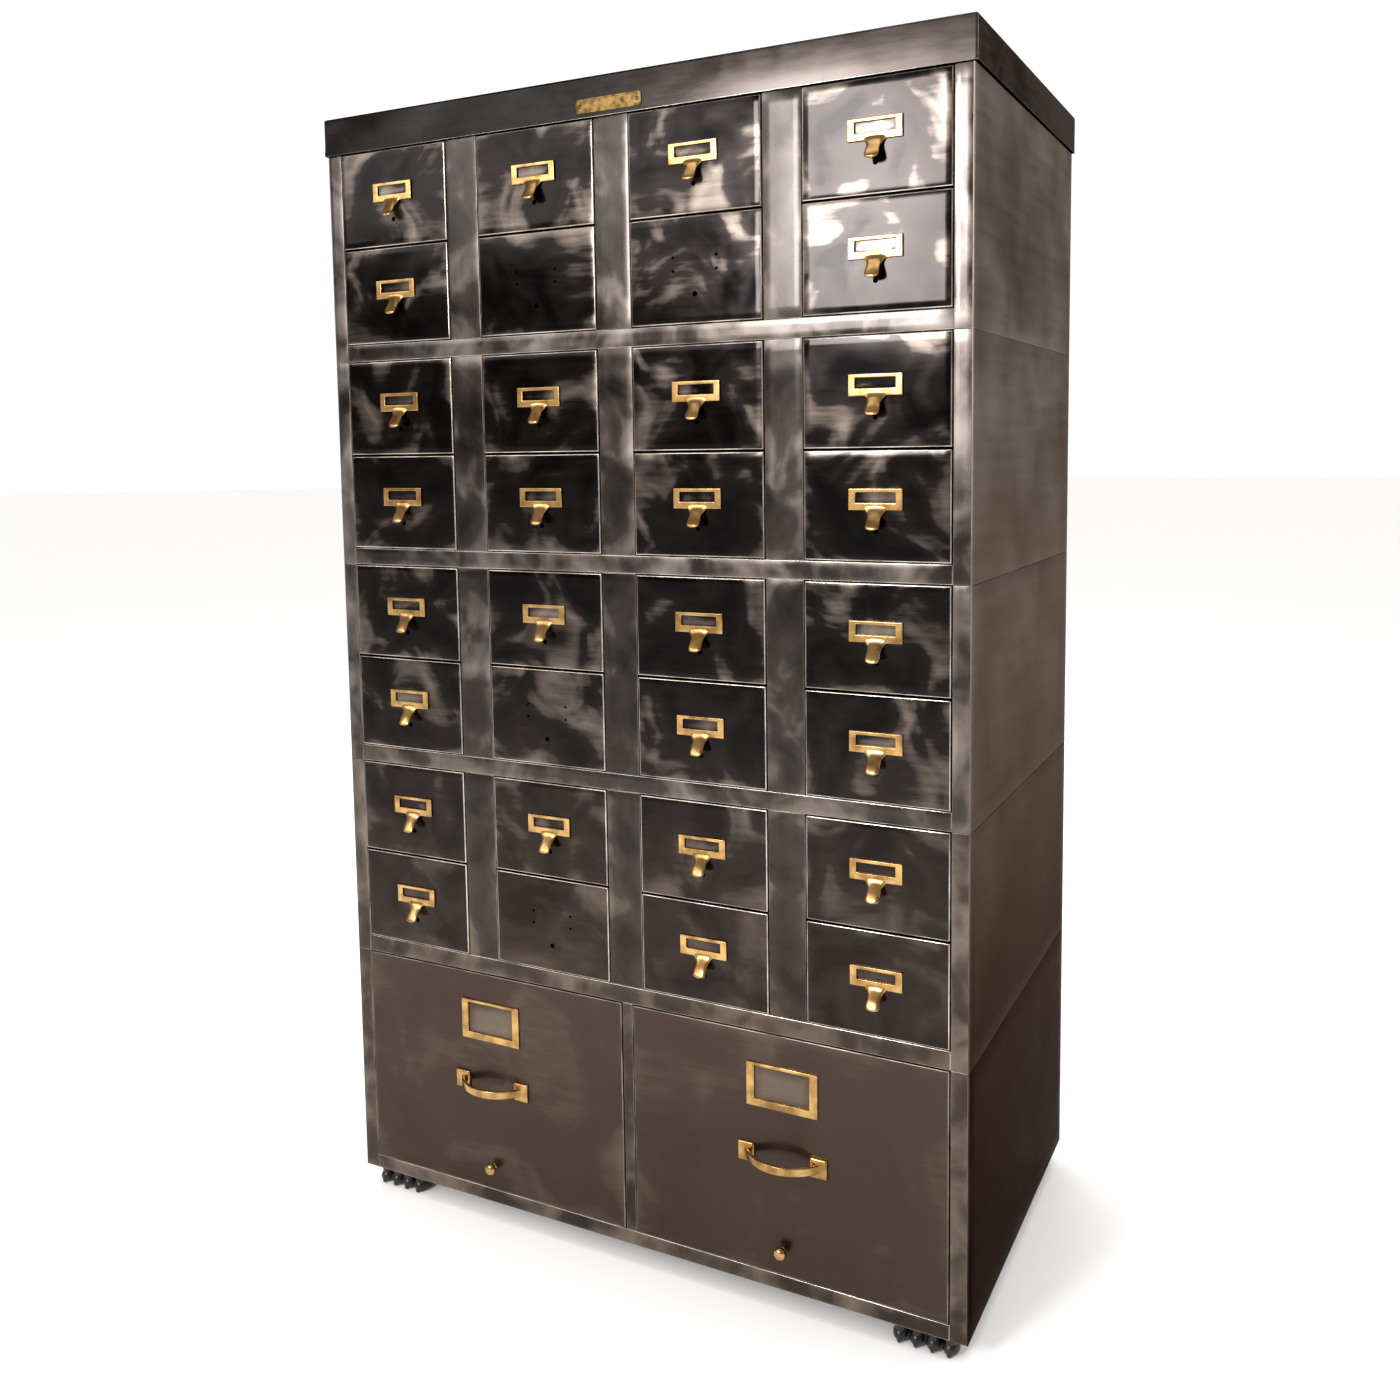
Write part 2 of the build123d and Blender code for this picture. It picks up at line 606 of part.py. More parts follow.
def paw_foot():
    """Cast paw: an ankle block under the cabinet and four round toes with flattened soles."""
    toe_centre_z = TOE_RADIUS - TOE_SOLE_CUT
    toe_pitch = (FOOT_WIDTH - 2 * TOE_RADIUS) / (TOES - 1)
    toe_length = FOOT_DEPTH - TOE_RADIUS
    bottom_up = (Align.CENTER, Align.MIN, Align.MIN)
    with BuildPart() as foot:
        for toe in range(TOES):
            toe_x = (toe - (TOES - 1) / 2) * toe_pitch
            with Locations(Location((toe_x, TOE_RADIUS, toe_centre_z), (-90, 0, 0))):
                Cylinder(TOE_RADIUS, toe_length, align=(Align.CENTER, Align.CENTER, Align.MIN))
            with Locations((toe_x, TOE_RADIUS, toe_centre_z)):
                Sphere(TOE_RADIUS)
        with Locations((0, ANKLE_INSET, FOOT_HEIGHT - ANKLE_HEIGHT)):
            Box(
                FOOT_WIDTH - 2 * ANKLE_INSET,
                FOOT_DEPTH - ANKLE_INSET,
                ANKLE_HEIGHT,
                align=bottom_up,
            )
        Box(
            2 * FOOT_WIDTH,
            2 * FOOT_DEPTH,
            2 * TOE_RADIUS,
            align=(Align.CENTER, Align.MIN, Align.MAX),
            mode=Mode.SUBTRACT,
        )
    return foot.part


# ---- Fixed structure -----------------------------------------------------------------------
base_place = Location((0, FACE_Y, BASE_BOTTOM))
card_shell = section_shell(CARD_SECTION_HEIGHT)
card_frame = face_frame(CARD_SECTION_HEIGHT, CARD_RAIL_HEIGHT, CARD_DIVIDER_WIDTH, COLUMNS)
for section in range(1, SECTIONS + 1):
    section_z = CARDS_BOTTOM + (SECTIONS - section) * CARD_SECTION_HEIGHT
    section_place = Location((0, FACE_Y, section_z))
    save(card_shell.moved(section_place), f"card_section_shell_{section}")
    save(card_frame.moved(section_place), f"card_face_frame_{section}")

save(section_shell(BASE_SECTION_HEIGHT).moved(base_place), "base_section_shell")
base_frame = face_frame(BASE_SECTION_HEIGHT, BASE_RAIL_HEIGHT, BASE_DIVIDER_WIDTH, 2)
save(base_frame.moved(base_place), "base_face_frame")

card_side_gap = (CARD_OPENING_WIDTH - CARD_TRAY_WIDTH) / 2
card_ledge_tops = [
    CARD_RAIL_HEIGHT + row * CARD_OPENING_HEIGHT + CARD_TRAY_LIFT - RUNNER_CLEARANCE
    for row in range(ROWS)
]
card_partition = runner_partition(
    CARD_DIVIDER_WIDTH, CARD_SECTION_HEIGHT, card_side_gap, card_ledge_tops
)
card_tray_edge = CABINET_WIDTH / 2 - STILE_WIDTH - card_side_gap
card_runners = []
for section in range(SECTIONS):
    section_z = CARDS_BOTTOM + section * CARD_SECTION_HEIGHT
    for divider in range(1, COLUMNS):
        divider_x = opening_x(divider, COLUMNS, CARD_PITCH) + CARD_PITCH / 2
        card_runners.append(card_partition.moved(Location((divider_x, FACE_Y, section_z))))
    for ledge_top in card_ledge_tops:
        for side in (-1, 1):
            runner = side_runner(side, side * card_tray_edge, ledge_top)
            card_runners.append(runner.moved(Location((0, FACE_Y, section_z))))
save(Compound(children=card_runners), "card_drawer_runners")

file_side_gap = (FILE_OPENING_WIDTH - FILE_TRAY_WIDTH) / 2
file_ledge_top = BASE_RAIL_HEIGHT + FILE_TRAY_LIFT - RUNNER_CLEARANCE
file_tray_edge = CABINET_WIDTH / 2 - STILE_WIDTH - file_side_gap
base_partition = runner_partition(
    BASE_DIVIDER_WIDTH, BASE_SECTION_HEIGHT, file_side_gap, [file_ledge_top]
)
file_runners = [base_partition.moved(base_place)]
for side in (-1, 1):
    runner = side_runner(side, side * file_tray_edge, file_ledge_top)
    file_runners.append(runner.moved(base_place))
save(Compound(children=file_runners), "file_drawer_runners")

# ---- Card drawers --------------------------------------------------------------------------
card_front_width = CARD_OPENING_WIDTH - 2 * FRONT_GAP
card_holes = [(x, z, PULL_STUD_RADIUS + HOLE_CLEARANCE) for x, z in pull_stud_places()]
card_holes.append((0, FRONT_GAP + CARD_ROD_HEIGHT, CARD_ROD_HOLE_RADIUS))
card_front = drawer_front(card_front_width, CARD_FRONT_HEIGHT, card_holes)
card_liner = front_liner(
    card_front_width, CARD_FRONT_HEIGHT, CARD_ROD_HOLE_RADIUS, CARD_ROD_HEIGHT
)
card_tray = drawer_tray(
    CARD_TRAY_WIDTH,
    CARD_TRAY_WALL,
    CARD_TRAY_LIFT,
    CARD_ROD_HOLE_RADIUS,
    CARD_ROD_HEIGHT,
    False,
)
card_block = follower_block(
    CARD_BLOCK_WIDTH,
    CARD_BLOCK_HEIGHT,
    CARD_BLOCK_FOOT,
    CARD_BLOCK_SHEET,
    CARD_BLOCK_BACK_GAP,
    CARD_TRAY_LIFT + TRAY_SHEET,
    0,
    0,
)
pull = card_pull()
for section in range(1, SECTIONS + 1):
    for row in range(1, ROWS + 1):
        for column in range(1, COLUMNS + 1):
            pieces = [card_tray, card_front, card_liner, card_block]
            if (section, row, column) not in BARE_DRAWERS:
                pieces.append(pull)
            drawer_place = Location(
                (
                    opening_x(column, COLUMNS, CARD_PITCH),
                    FACE_Y,
                    card_opening_z(section, row),
                )
            )
            drawer = Compound(children=[piece.moved(drawer_place) for piece in pieces])
            save(drawer, f"card_drawer_s{section}_r{row}_c{column}")

# ---- File drawers --------------------------------------------------------------------------
rod_hole_radius = ROD_RADIUS + ROD_CLEARANCE
file_front_width = FILE_OPENING_WIDTH - 2 * FRONT_GAP
file_holes = [(x, z, LABEL_PIN_RADIUS + HOLE_CLEARANCE) for x, z in label_pin_places()]
file_holes += [(x, z, HANDLE_SCREW_RADIUS + HOLE_CLEARANCE) for x, z in handle_screw_places()]
file_holes.append((0, FRONT_GAP + ROD_HEIGHT, rod_hole_radius))
file_front = drawer_front(file_front_width, FILE_FRONT_HEIGHT, file_holes)
file_liner = front_liner(file_front_width, FILE_FRONT_HEIGHT, rod_hole_radius, ROD_HEIGHT)
file_tray = drawer_tray(
    FILE_TRAY_WIDTH, FILE_TRAY_WALL, FILE_TRAY_LIFT, rod_hole_radius, ROD_HEIGHT, True
)
file_floor = FILE_TRAY_LIFT + TRAY_SHEET + FILE_BLOCK_CLEARANCE
file_block = follower_block(
    FILE_BLOCK_WIDTH,
    FILE_BLOCK_HEIGHT,
    FILE_BLOCK_FOOT,
    FILE_BLOCK_SHEET,
    FILE_BLOCK_BACK_GAP,
    file_floor,
    ROD_NOTCH_WIDTH,
    FRONT_GAP + ROD_HEIGHT + ROD_NOTCH_WIDTH / 2,
)
handle_screw = round_screw(
    HANDLE_SCREW_RADIUS,
    FRONT_SHEET + HANDLE_SCREW_BITE,
    HANDLE_SCREW_HEAD_RADIUS,
    HANDLE_SCREW_HEAD_HEIGHT,
)
handle_pieces = [bow_handle()]
for x, z in handle_screw_places():
    screw_place = Location((x, FRONT_SHEET - FRONT_PROUD, z), (0, 0, 180))
    handle_pieces.append(handle_screw.moved(screw_place))
for number, side_name in ((1, "left"), (2, "right")):
    file_place = Location(
        (opening_x(number, 2, FILE_PITCH), FACE_Y, BASE_BOTTOM + BASE_RAIL_HEIGHT)
    )
    drawer_pieces = [piece.moved(file_place) for piece in (file_tray, file_front, file_liner)]
    save(Compound(children=drawer_pieces), f"file_drawer_{side_name}")
    save(file_label_frame().moved(file_place), f"file_label_frame_{side_name}")
    placed_handle = [piece.moved(file_place) for piece in handle_pieces]
    save(Compound(children=placed_handle), f"bow_handle_{side_name}")
    save(index_rod().moved(file_place), f"index_rod_{side_name}")
    save(file_block.moved(file_place), f"folder_follower_{side_name}")

# ---- Cap, nameplate and feet ---------------------------------------------------------------
cap_place = Location((0, FACE_Y, CAP_BOTTOM))
save(top_cap().moved(cap_place), "top_cap")
plate_screw = round_screw(
    PLATE_SCREW_RADIUS, PLATE_SCREW_LENGTH, PLATE_SCREW_HEAD_RADIUS, PLATE_SCREW_HEAD_HEIGHT
)
plate_pieces = [nameplate()]
for x in (-PLATE_SCREW_SPACING / 2, PLATE_SCREW_SPACING / 2):
    plate_pieces.append(
        plate_screw.moved(Location((x, -CAP_OVERHANG - PLATE_THICKNESS, PLATE_RISE)))
    )
save(Compound(children=[piece.moved(cap_place) for piece in plate_pieces]), "nameplate")

foot_x = CABINET_WIDTH / 2 - FOOT_SIDE_INSET - FOOT_WIDTH / 2
front_foot = paw_foot()
front_foot_y = FACE_Y + FOOT_FACE_INSET
back_foot_y = FACE_Y + CABINET_DEPTH - FOOT_FACE_INSET
for side, side_name in ((-1, "left"), (1, "right")):
    save(front_foot.moved(Location((side * foot_x, front_foot_y, 0))), f"paw_foot_front_{side_name}")
    back_place = Location((side * foot_x, back_foot_y, 0), (0, 0, 180))
    save(front_foot.moved(back_place), f"paw_foot_back_{side_name}")
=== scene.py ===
"""Looks of a four-section card catalog cabinet in burnished steel with cast brass fittings.

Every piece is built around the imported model: its place comes from the frame's boxes, it rides on
the body of the node it stands for, and its finish is worked out from real sizes in millimetres.
"""

import logging
import math
import random
from dataclasses import dataclass
from enum import Enum
from typing import Callable, Sequence

import bmesh
import bpy
from mathutils import Matrix, Vector, noise


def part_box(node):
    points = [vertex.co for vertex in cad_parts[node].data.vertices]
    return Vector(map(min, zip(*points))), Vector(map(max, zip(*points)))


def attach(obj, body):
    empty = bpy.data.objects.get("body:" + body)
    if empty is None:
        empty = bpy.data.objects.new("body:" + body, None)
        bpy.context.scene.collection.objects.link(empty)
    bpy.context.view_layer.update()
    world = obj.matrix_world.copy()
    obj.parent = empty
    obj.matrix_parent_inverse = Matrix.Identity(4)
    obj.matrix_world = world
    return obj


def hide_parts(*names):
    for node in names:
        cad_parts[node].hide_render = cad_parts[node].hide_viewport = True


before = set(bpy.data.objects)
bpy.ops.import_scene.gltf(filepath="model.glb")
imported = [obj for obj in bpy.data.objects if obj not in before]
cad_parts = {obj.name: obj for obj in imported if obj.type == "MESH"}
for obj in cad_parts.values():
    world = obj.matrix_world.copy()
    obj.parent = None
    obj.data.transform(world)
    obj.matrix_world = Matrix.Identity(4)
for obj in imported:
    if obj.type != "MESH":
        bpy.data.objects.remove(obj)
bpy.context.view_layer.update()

LOG = logging.getLogger("card_catalog")
MM = 0.001
Material = bpy.types.Material
Object = bpy.types.Object
Place = Callable[[float, float, float], Vector]

SECTIONS = 4
ROWS = 2
COLUMNS = 4
CABINET_BODY = "cabinet"
# Drawers that have lost their pull, as (section from the top, row from the top, column).
BARE_DRAWERS = {(1, 2, 2), (1, 2, 3), (3, 2, 2), (4, 2, 2)}


class Slot(Enum):
    """Material slots of the record."""

    STEEL = "burnished_steel"
    BRASS = "polished_brass"
    IRON = "black_cast_iron"


class Facing(Enum):
    """Which way a sheet panel looks."""

    FRONT = "front"
    BACK = "back"
    LEFT = "left"
    RIGHT = "right"
    UP = "up"


# ---- Node helpers ----------------------------------------------------------------------------
def linear(code: str, strength: float = 1.0) -> tuple[float, float, float, float]:
    """Turn an sRGB hex colour into linear RGBA.

    Args:
        code: Colour as "#rrggbb".
        strength: Factor on the linear values.

    Returns:
        Linear red, green, blue and an alpha of one.
    """
    channels = [int(code[i : i + 2], 16) / 255 for i in (1, 3, 5)]
    values = [c / 12.92 if c <= 0.04045 else ((c + 0.055) / 1.055) ** 2.4 for c in channels]
    return (*[v * strength for v in values], 1.0)


def add_node(
    tree: bpy.types.NodeTree,
    kind: str,
    inputs: dict[str | int, object] | None = None,
    **settings: object,
) -> bpy.types.Node:
    """Add one node with its settings, fixed inputs and links.

    Args:
        tree: Node tree that gets the node.
        kind: Type name of the node.
        inputs: Input name or number to a value, or to an output socket that is linked to it.
        settings: Properties of the node itself.

    Returns:
        The new node.
    """
    node = tree.nodes.new(kind)
    for name, value in settings.items():
        setattr(node, name, value)
    for key, value in (inputs or {}).items():
        socket = node.inputs[key]
        if isinstance(value, bpy.types.NodeSocket):
            tree.links.new(value, socket)
        else:
            socket.default_value = value
    return node


def new_material(name: str) -> tuple[Material, bpy.types.NodeTree, bpy.types.Node]:
    """Make a node material.

    Args:
        name: Real name of the finish.

    Returns:
        The material, its emptied tree and the tree's output node.
    """
    material = bpy.data.materials.new(name)
    material.use_nodes = True
    tree = material.node_tree
    tree.nodes.clear()
    return material, tree, add_node(tree, "ShaderNodeOutputMaterial")


def per_metre(size_mm: float) -> float:
    """Pattern scale of a feature of this size in millimetres."""
    return 1000.0 / size_mm


# ---- Finishes --------------------------------------------------------------------------------
@dataclass(frozen=True)
class Palette:
    """Three colours of polished sheet: the hollow between the clouds, the body, and the pale
    painted highlight of the clouds.
    """

    hollow: str
    body: str
    painted_sheen: str


@dataclass(frozen=True)
class BurnishedSteel:
    """Cold-rolled sheet, hand-burnished and lacquered; its cloudy shine is painted into the colour
    as pale highlight clouds.
    """

    name: str
    # Tones at the high and low end of the blend axis: lit and shaded copies of one finish, so the
    # change between them is painted light and shade.
    upper: Palette
    lower: Palette
    cloud_mm: float = 62.0
    blend_axis: str = "Z"
    lowest: float = 0.32
    highest: float = 0.78
    cloud_detail: float = 2.6
    swirl: float = 0.9
    spread: float = 1.0
    smooth: float = 0.2
    rough: float = 0.42
    wear_and_sheen_gain: float = 0.35
    dent: float = 0.35
    streak: tuple[float, float, float] = (1.0, 1.0, 7.0)
    streak_mm: float = 48.0
    streak_share: float = 0.3
    dent_mm: float = 85.0
    scratch_mm: float = 1.4
    lacquer: float = 0.25
    # Darkened lacquer swallows part of what steel reflects at a glancing angle.
    edge_tint: str = "#ffffff"

    def make(self) -> Material:
        """Build the node material.

        Returns:
            The finished material.
        """
        material, tree, output = new_material(self.name)
        place = add_node(tree, "ShaderNodeTexCoord").outputs["Object"]
        offset = add_node(tree, "ShaderNodeAttribute", attribute_name="burnish_offset")
        own = add_node(
            tree, "ShaderNodeVectorMath", {0: place, 1: offset.outputs["Vector"]}, operation="ADD"
        ).outputs[0]
        # Clouds left by the polishing wheel, drawn out a little where it was swept along. They set
        # the roughness, and through the colour ramp they also paint pale highlight clouds into the
        # colour.
        clouds = add_node(
            tree,
            "ShaderNodeTexNoise",
            {
                "Vector": own,
                "Scale": per_metre(self.cloud_mm),
                "Detail": self.cloud_detail,
                "Roughness": 0.5,
                "Distortion": self.swirl,
            },
        ).outputs["Fac"]
        swept = add_node(
            tree, "ShaderNodeMapping", {"Vector": own, "Scale": self.streak}
        ).outputs[0]
        streaks = add_node(
            tree,
            "ShaderNodeTexNoise",
            {"Vector": swept, "Scale": per_metre(self.streak_mm), "Detail": 6.0, "Roughness": 0.62},
        ).outputs["Fac"]
        wear_and_sheen = add_node(tree, "ShaderNodeAttribute", attribute_name="wear_and_sheen").outputs["Fac"]
        burnish_and_sheen = add_node(
            tree,
            "ShaderNodeMix",
            {"Factor": self.streak_share, "A": clouds, "B": streaks},
            data_type="FLOAT",
        ).outputs["Result"]
        # Worn edges, the painted sheen lift and the pale bare spots move the clouds towards the
        # painted highlight.
        worn = add_node(
            tree,
            "ShaderNodeMath",
            {0: wear_and_sheen, 1: self.wear_and_sheen_gain, 2: burnish_and_sheen},
            operation="MULTIPLY_ADD",
        ).outputs[0]
        tones = [
            self._ramp(tree, worn, palette).outputs["Color"]
            for palette in (self.upper, self.lower)
        ]
        # Painted light and shade: the tone blends from the lower to the upper palette along one
        # axis.
        height = add_node(tree, "ShaderNodeSeparateXYZ", {0: place}).outputs[self.blend_axis]
        rise = add_node(
            tree,
            "ShaderNodeMapRange",
            {"Value": height, "From Min": self.lowest, "From Max": self.highest},
            interpolation_type="SMOOTHSTEP",
        ).outputs["Result"]
        colour = add_node(
            tree,
            "ShaderNodeMix",
            {"Factor": rise, 6: tones[1], 7: tones[0]},
            data_type="RGBA",
        ).outputs[2]
        roughness = add_node(
            tree,
            "ShaderNodeMapRange",
            {
                "Value": burnish_and_sheen,
                "From Min": 0.35,
                "From Max": 0.68,
                "To Min": self.smooth,
                "To Max": self.rough,
            },
        ).outputs["Result"]
        # Oil-canning of thin sheet, then the fine scratches of the polishing belt.
        dents = add_node(
            tree,
            "ShaderNodeTexNoise",
            {"Vector": own, "Scale": per_metre(self.dent_mm), "Detail": 1.5, "Roughness": 0.4},
        ).outputs["Fac"]
        dented = add_node(
            tree,
            "ShaderNodeBump",
            {"Strength": 1.0, "Distance": self.dent * MM, "Height": dents},
        ).outputs["Normal"]
        belt = add_node(
            tree, "ShaderNodeMapping", {"Vector": own, "Scale": (0.06, 0.06, 1.0)}
        ).outputs[0]
        scratches = add_node(
            tree,
            "ShaderNodeTexNoise",
            {"Vector": belt, "Scale": per_metre(self.scratch_mm), "Detail": 3.0, "Roughness": 0.7},
        ).outputs["Fac"]
        scratched = add_node(
            tree,
            "ShaderNodeBump",
            {"Strength": 0.35, "Distance": 0.02 * MM, "Height": scratches, "Normal": dented},
        ).outputs["Normal"]
        shader = add_node(
            tree,
            "ShaderNodeBsdfPrincipled",
            {
                "Base Color": colour,
                "Metallic": 1.0,
                "Roughness": roughness,
                "Normal": scratched,
                "Specular Tint": linear(self.edge_tint),
                "Coat Weight": self.lacquer,
                "Coat Roughness": 0.12,
            },
        )
        tree.links.new(shader.outputs[0], output.inputs["Surface"])
        return material

    def _ramp(
        self, tree: bpy.types.NodeTree, value: bpy.types.NodeSocket, palette: Palette
    ) -> bpy.types.Node:
        """Colour ramp from hollow through body to the pale painted highlight.

        Args:
            tree: The material's tree.
            value: Strength of the burnishing clouds, which sets how far the colour goes towards the
                painted highlight.
            palette: The three colours.

        Returns:
            The ramp node.
        """
        ramp = add_node(tree, "ShaderNodeValToRGB", {0: value})
        stops = ramp.color_ramp.elements
        stops[0].position, stops[0].color = 0.55 - 0.17 * self.spread, linear(palette.hollow)
        stops[1].position, stops[1].color = 0.55 + 0.25 * self.spread, linear(palette.painted_sheen)
        middle = stops.new(0.55)
        middle.color = linear(palette.body)
        return ramp


@dataclass(frozen=True)
class BareMetal:
    """Plain metal with a soft tarnish: edge strips with a painted highlight, brass castings, rolled
    tray sheet.
    """

    name: str
    bright: str
    tarnish: str
    smooth: float
    rough: float
    mottle_mm: float
    grain_mm: float
    grain_depth: float

    def make(self) -> Material:
        """Build the node material.

        Returns:
            The finished material.
        """
        material, tree, output = new_material(self.name)
        place = add_node(tree, "ShaderNodeTexCoord").outputs["Object"]
        mottle = add_node(
            tree,
            "ShaderNodeTexNoise",
            {"Vector": place, "Scale": per_metre(self.mottle_mm), "Detail": 4.0},
        ).outputs["Fac"]
        tarnished = add_node(
            tree,
            "ShaderNodeMapRange",
            {"Value": mottle, "From Min": 0.38, "From Max": 0.66},
        ).outputs["Result"]
        colour = add_node(
            tree,
            "ShaderNodeMix",
            {"Factor": tarnished, 6: linear(self.bright), 7: linear(self.tarnish)},
            data_type="RGBA",
        ).outputs[2]
        roughness = add_node(
            tree,
            "ShaderNodeMapRange",
            {"Value": mottle, "To Min": self.smooth, "To Max": self.rough},
        ).outputs["Result"]
        grain = add_node(
            tree,
            "ShaderNodeTexNoise",
            {"Vector": place, "Scale": per_metre(self.grain_mm), "Detail": 3.0},
        ).outputs["Fac"]
        bump = add_node(
            tree,
            "ShaderNodeBump",
            {"Strength": 0.6, "Distance": self.grain_depth * MM, "Height": grain},
        ).outputs["Normal"]
        shader = add_node(
            tree,
            "ShaderNodeBsdfPrincipled",
            {"Base Color": colour, "Metallic": 1.0, "Roughness": roughness, "Normal": bump},
        )
        tree.links.new(shader.outputs[0], output.inputs["Surface"])
        return material


@dataclass(frozen=True)
class CastIron:
    """Sand-cast iron under worn black enamel: a little gloss over an uneven skin."""

    name: str = "black enamelled cast iron"
    deep: str = "#060505"
    worn: str = "#1b1817"
    sand_mm: float = 2.2
    patch_mm: float = 14.0

    def make(self) -> Material:
        """Build the node material.

        Returns:
            The finished material.
        """
        material, tree, output = new_material(self.name)
        place = add_node(tree, "ShaderNodeTexCoord").outputs["Object"]
        skin = add_node(
            tree,
            "ShaderNodeTexNoise",
            {"Vector": place, "Scale": per_metre(self.sand_mm), "Detail": 4.0},
        ).outputs["Fac"]
        patches = add_node(
            tree,
            "ShaderNodeTexNoise",
            {"Vector": place, "Scale": per_metre(self.patch_mm), "Detail": 3.0},
        ).outputs["Fac"]
        rubbed = add_node(
            tree, "ShaderNodeMapRange", {"Value": patches, "From Min": 0.45, "From Max": 0.7}
        ).outputs["Result"]
        colour = add_node(
            tree,
            "ShaderNodeMix",
            {"Factor": rubbed, 6: linear(self.deep), 7: linear(self.worn)},
            data_type="RGBA",
        ).outputs[2]
        roughness = add_node(
            tree, "ShaderNodeMapRange", {"Value": patches, "To Min": 0.22, "To Max": 0.5}
        ).outputs["Result"]
        bump = add_node(
            tree, "ShaderNodeBump", {"Strength": 0.5, "Distance": 0.25 * MM, "Height": skin}
        ).outputs["Normal"]
        shader = add_node(
            tree,
            "ShaderNodeBsdfPrincipled",
            {"Base Color": colour, "Roughness": roughness, "Normal": bump},
        )
        tree.links.new(shader.outputs[0], output.inputs["Surface"])
        return material


class FinishShelf:
    """All finishes of the cabinet, each made once."""

    def __init__(self) -> None:
        """Mix every finish."""
        # Nearly black mirror-polished steel with soft grey and bronze clouds painted as highlights,
        # palest near worn edges. Up high the clouds are contrasty; the lower palette is an even
        # brown-grey, a painted reflection of the pale floor in the lower fronts.
        self.drawer = BurnishedSteel(
            name="burnished steel, drawer fronts",
            upper=Palette("#0d0b0b", "#1e1a19", "#86796f"),
            lower=Palette("#221c19", "#302824", "#483d36"),
            cloud_mm=74.0,
            wear_and_sheen_gain=0.07,
            streak_share=0.16,
            lacquer=0.12,
            smooth=0.1,
            rough=0.3,
        ).make()
        # Even brown-grey satin with faint level streaks.
        self.file_front = BurnishedSteel(
            name="satin burnished steel, file drawer fronts",
            upper=Palette("#372b25", "#42352d", "#746558"),
            lower=Palette("#372b25", "#42352d", "#746558"),
            cloud_mm=120.0,
            streak_share=0.2,
            spread=1.8,
            smooth=0.34,
            rough=0.5,
            wear_and_sheen_gain=0.1,
            dent=0.15,
            edge_tint="#8f8a87",
        ).make()
        # Mid-grey clouds of the polishing wheel with painted pale highlights; the lower palette is
        # darker and browner, a painted shade towards the floor.
        self.frame = BurnishedSteel(
            name="burnished steel, face frames",
            upper=Palette("#1d1a18", "#38322f", "#857b75"),
            lower=Palette("#241e1a", "#3c322b", "#7b6d5f"),
            cloud_mm=58.0,
            swirl=0.5,
            wear_and_sheen_gain=0.07,
            smooth=0.2,
            rough=0.42,
            streak=(1.0, 1.0, 0.35),
        ).make()
        # Soft satin under painted light: pale at the top, with a painted shade that darkens it
        # steadily to the floor.
        self.side = BurnishedSteel(
            name="satin burnished steel, side panels",
            upper=Palette("#857a72", "#9c9189", "#b3a8a0"),
            lower=Palette("#251d1a", "#342b27", "#473d37"),
            cloud_mm=150.0,
            swirl=0.3,
            spread=1.75,
            lowest=0.15,
            highest=1.45,
            smooth=0.36,
            rough=0.5,
            wear_and_sheen_gain=0.03,
            dent=0.2,
            streak=(1.0, 0.25, 4.0),
            lacquer=0.0,
            edge_tint="#a29a94",
        ).make()
        # Painted light along the cap: dark at the left end, paler towards the right where it takes
        # a painted reflection.
        self.cap = BurnishedSteel(
            name="burnished steel, top cap",
            upper=Palette("#3d3633", "#59514d", "#766c67"),
            lower=Palette("#131110", "#211e1c", "#3a3532"),
            cloud_mm=110.0,
            blend_axis="X",
            lowest=-0.12,
            highest=0.46,
            smooth=0.24,
            rough=0.42,
            wear_and_sheen_gain=0.05,
            lacquer=0.1,
            edge_tint="#a39d99",
        ).make()
        # Thin bright line on the rounded edges: a painted highlight where light glances off them.
        self.edge = BareMetal(
            "steel edge with painted highlight", "#cfc4b8", "#8c8176", 0.18, 0.36, 34.0, 1.2, 0.01
        ).make()
        # A dimmer painted edge highlight, for the frames and the file fronts.
        self.dim_highlight_edge = BareMetal(
            "steel edge with dim painted highlight", "#8f857b", "#5a5149", 0.24, 0.42, 40.0, 1.2, 0.01
        ).make()
        # Plain rolled sheet, never polished.
        self.tray = BareMetal(
            "rolled tray steel", "#7b746e", "#57504b", 0.35, 0.5, 70.0, 1.6, 0.02
        ).make()
        # Walls of the holes drilled through the fronts: painted near-black as the shade inside the
        # holes, and too rough to catch a light.
        self.hole = BareMetal(
            "drilled steel with painted shade", "#141110", "#0c0a09", 0.6, 0.8, 5.0, 1.0, 0.01
        ).make()
        # Cast brass rubbed bright on the high spots, browner in the recesses.
        self.brass = BareMetal(
            "hand-polished cast brass", "#c69f66", "#8a683d", 0.17, 0.32, 17.0, 0.9, 0.03
        ).make()
        # Old gold of a plate that was never rubbed up.
        self.plate = BareMetal(
            "tarnished brass plate", "#6f5933", "#3f311a", 0.32, 0.5, 7.0, 0.9, 0.03
        ).make()
        # Sand-cast iron, japanned black, with a grainy skin that shines only on its high spots.
        self.iron = CastIron().make()


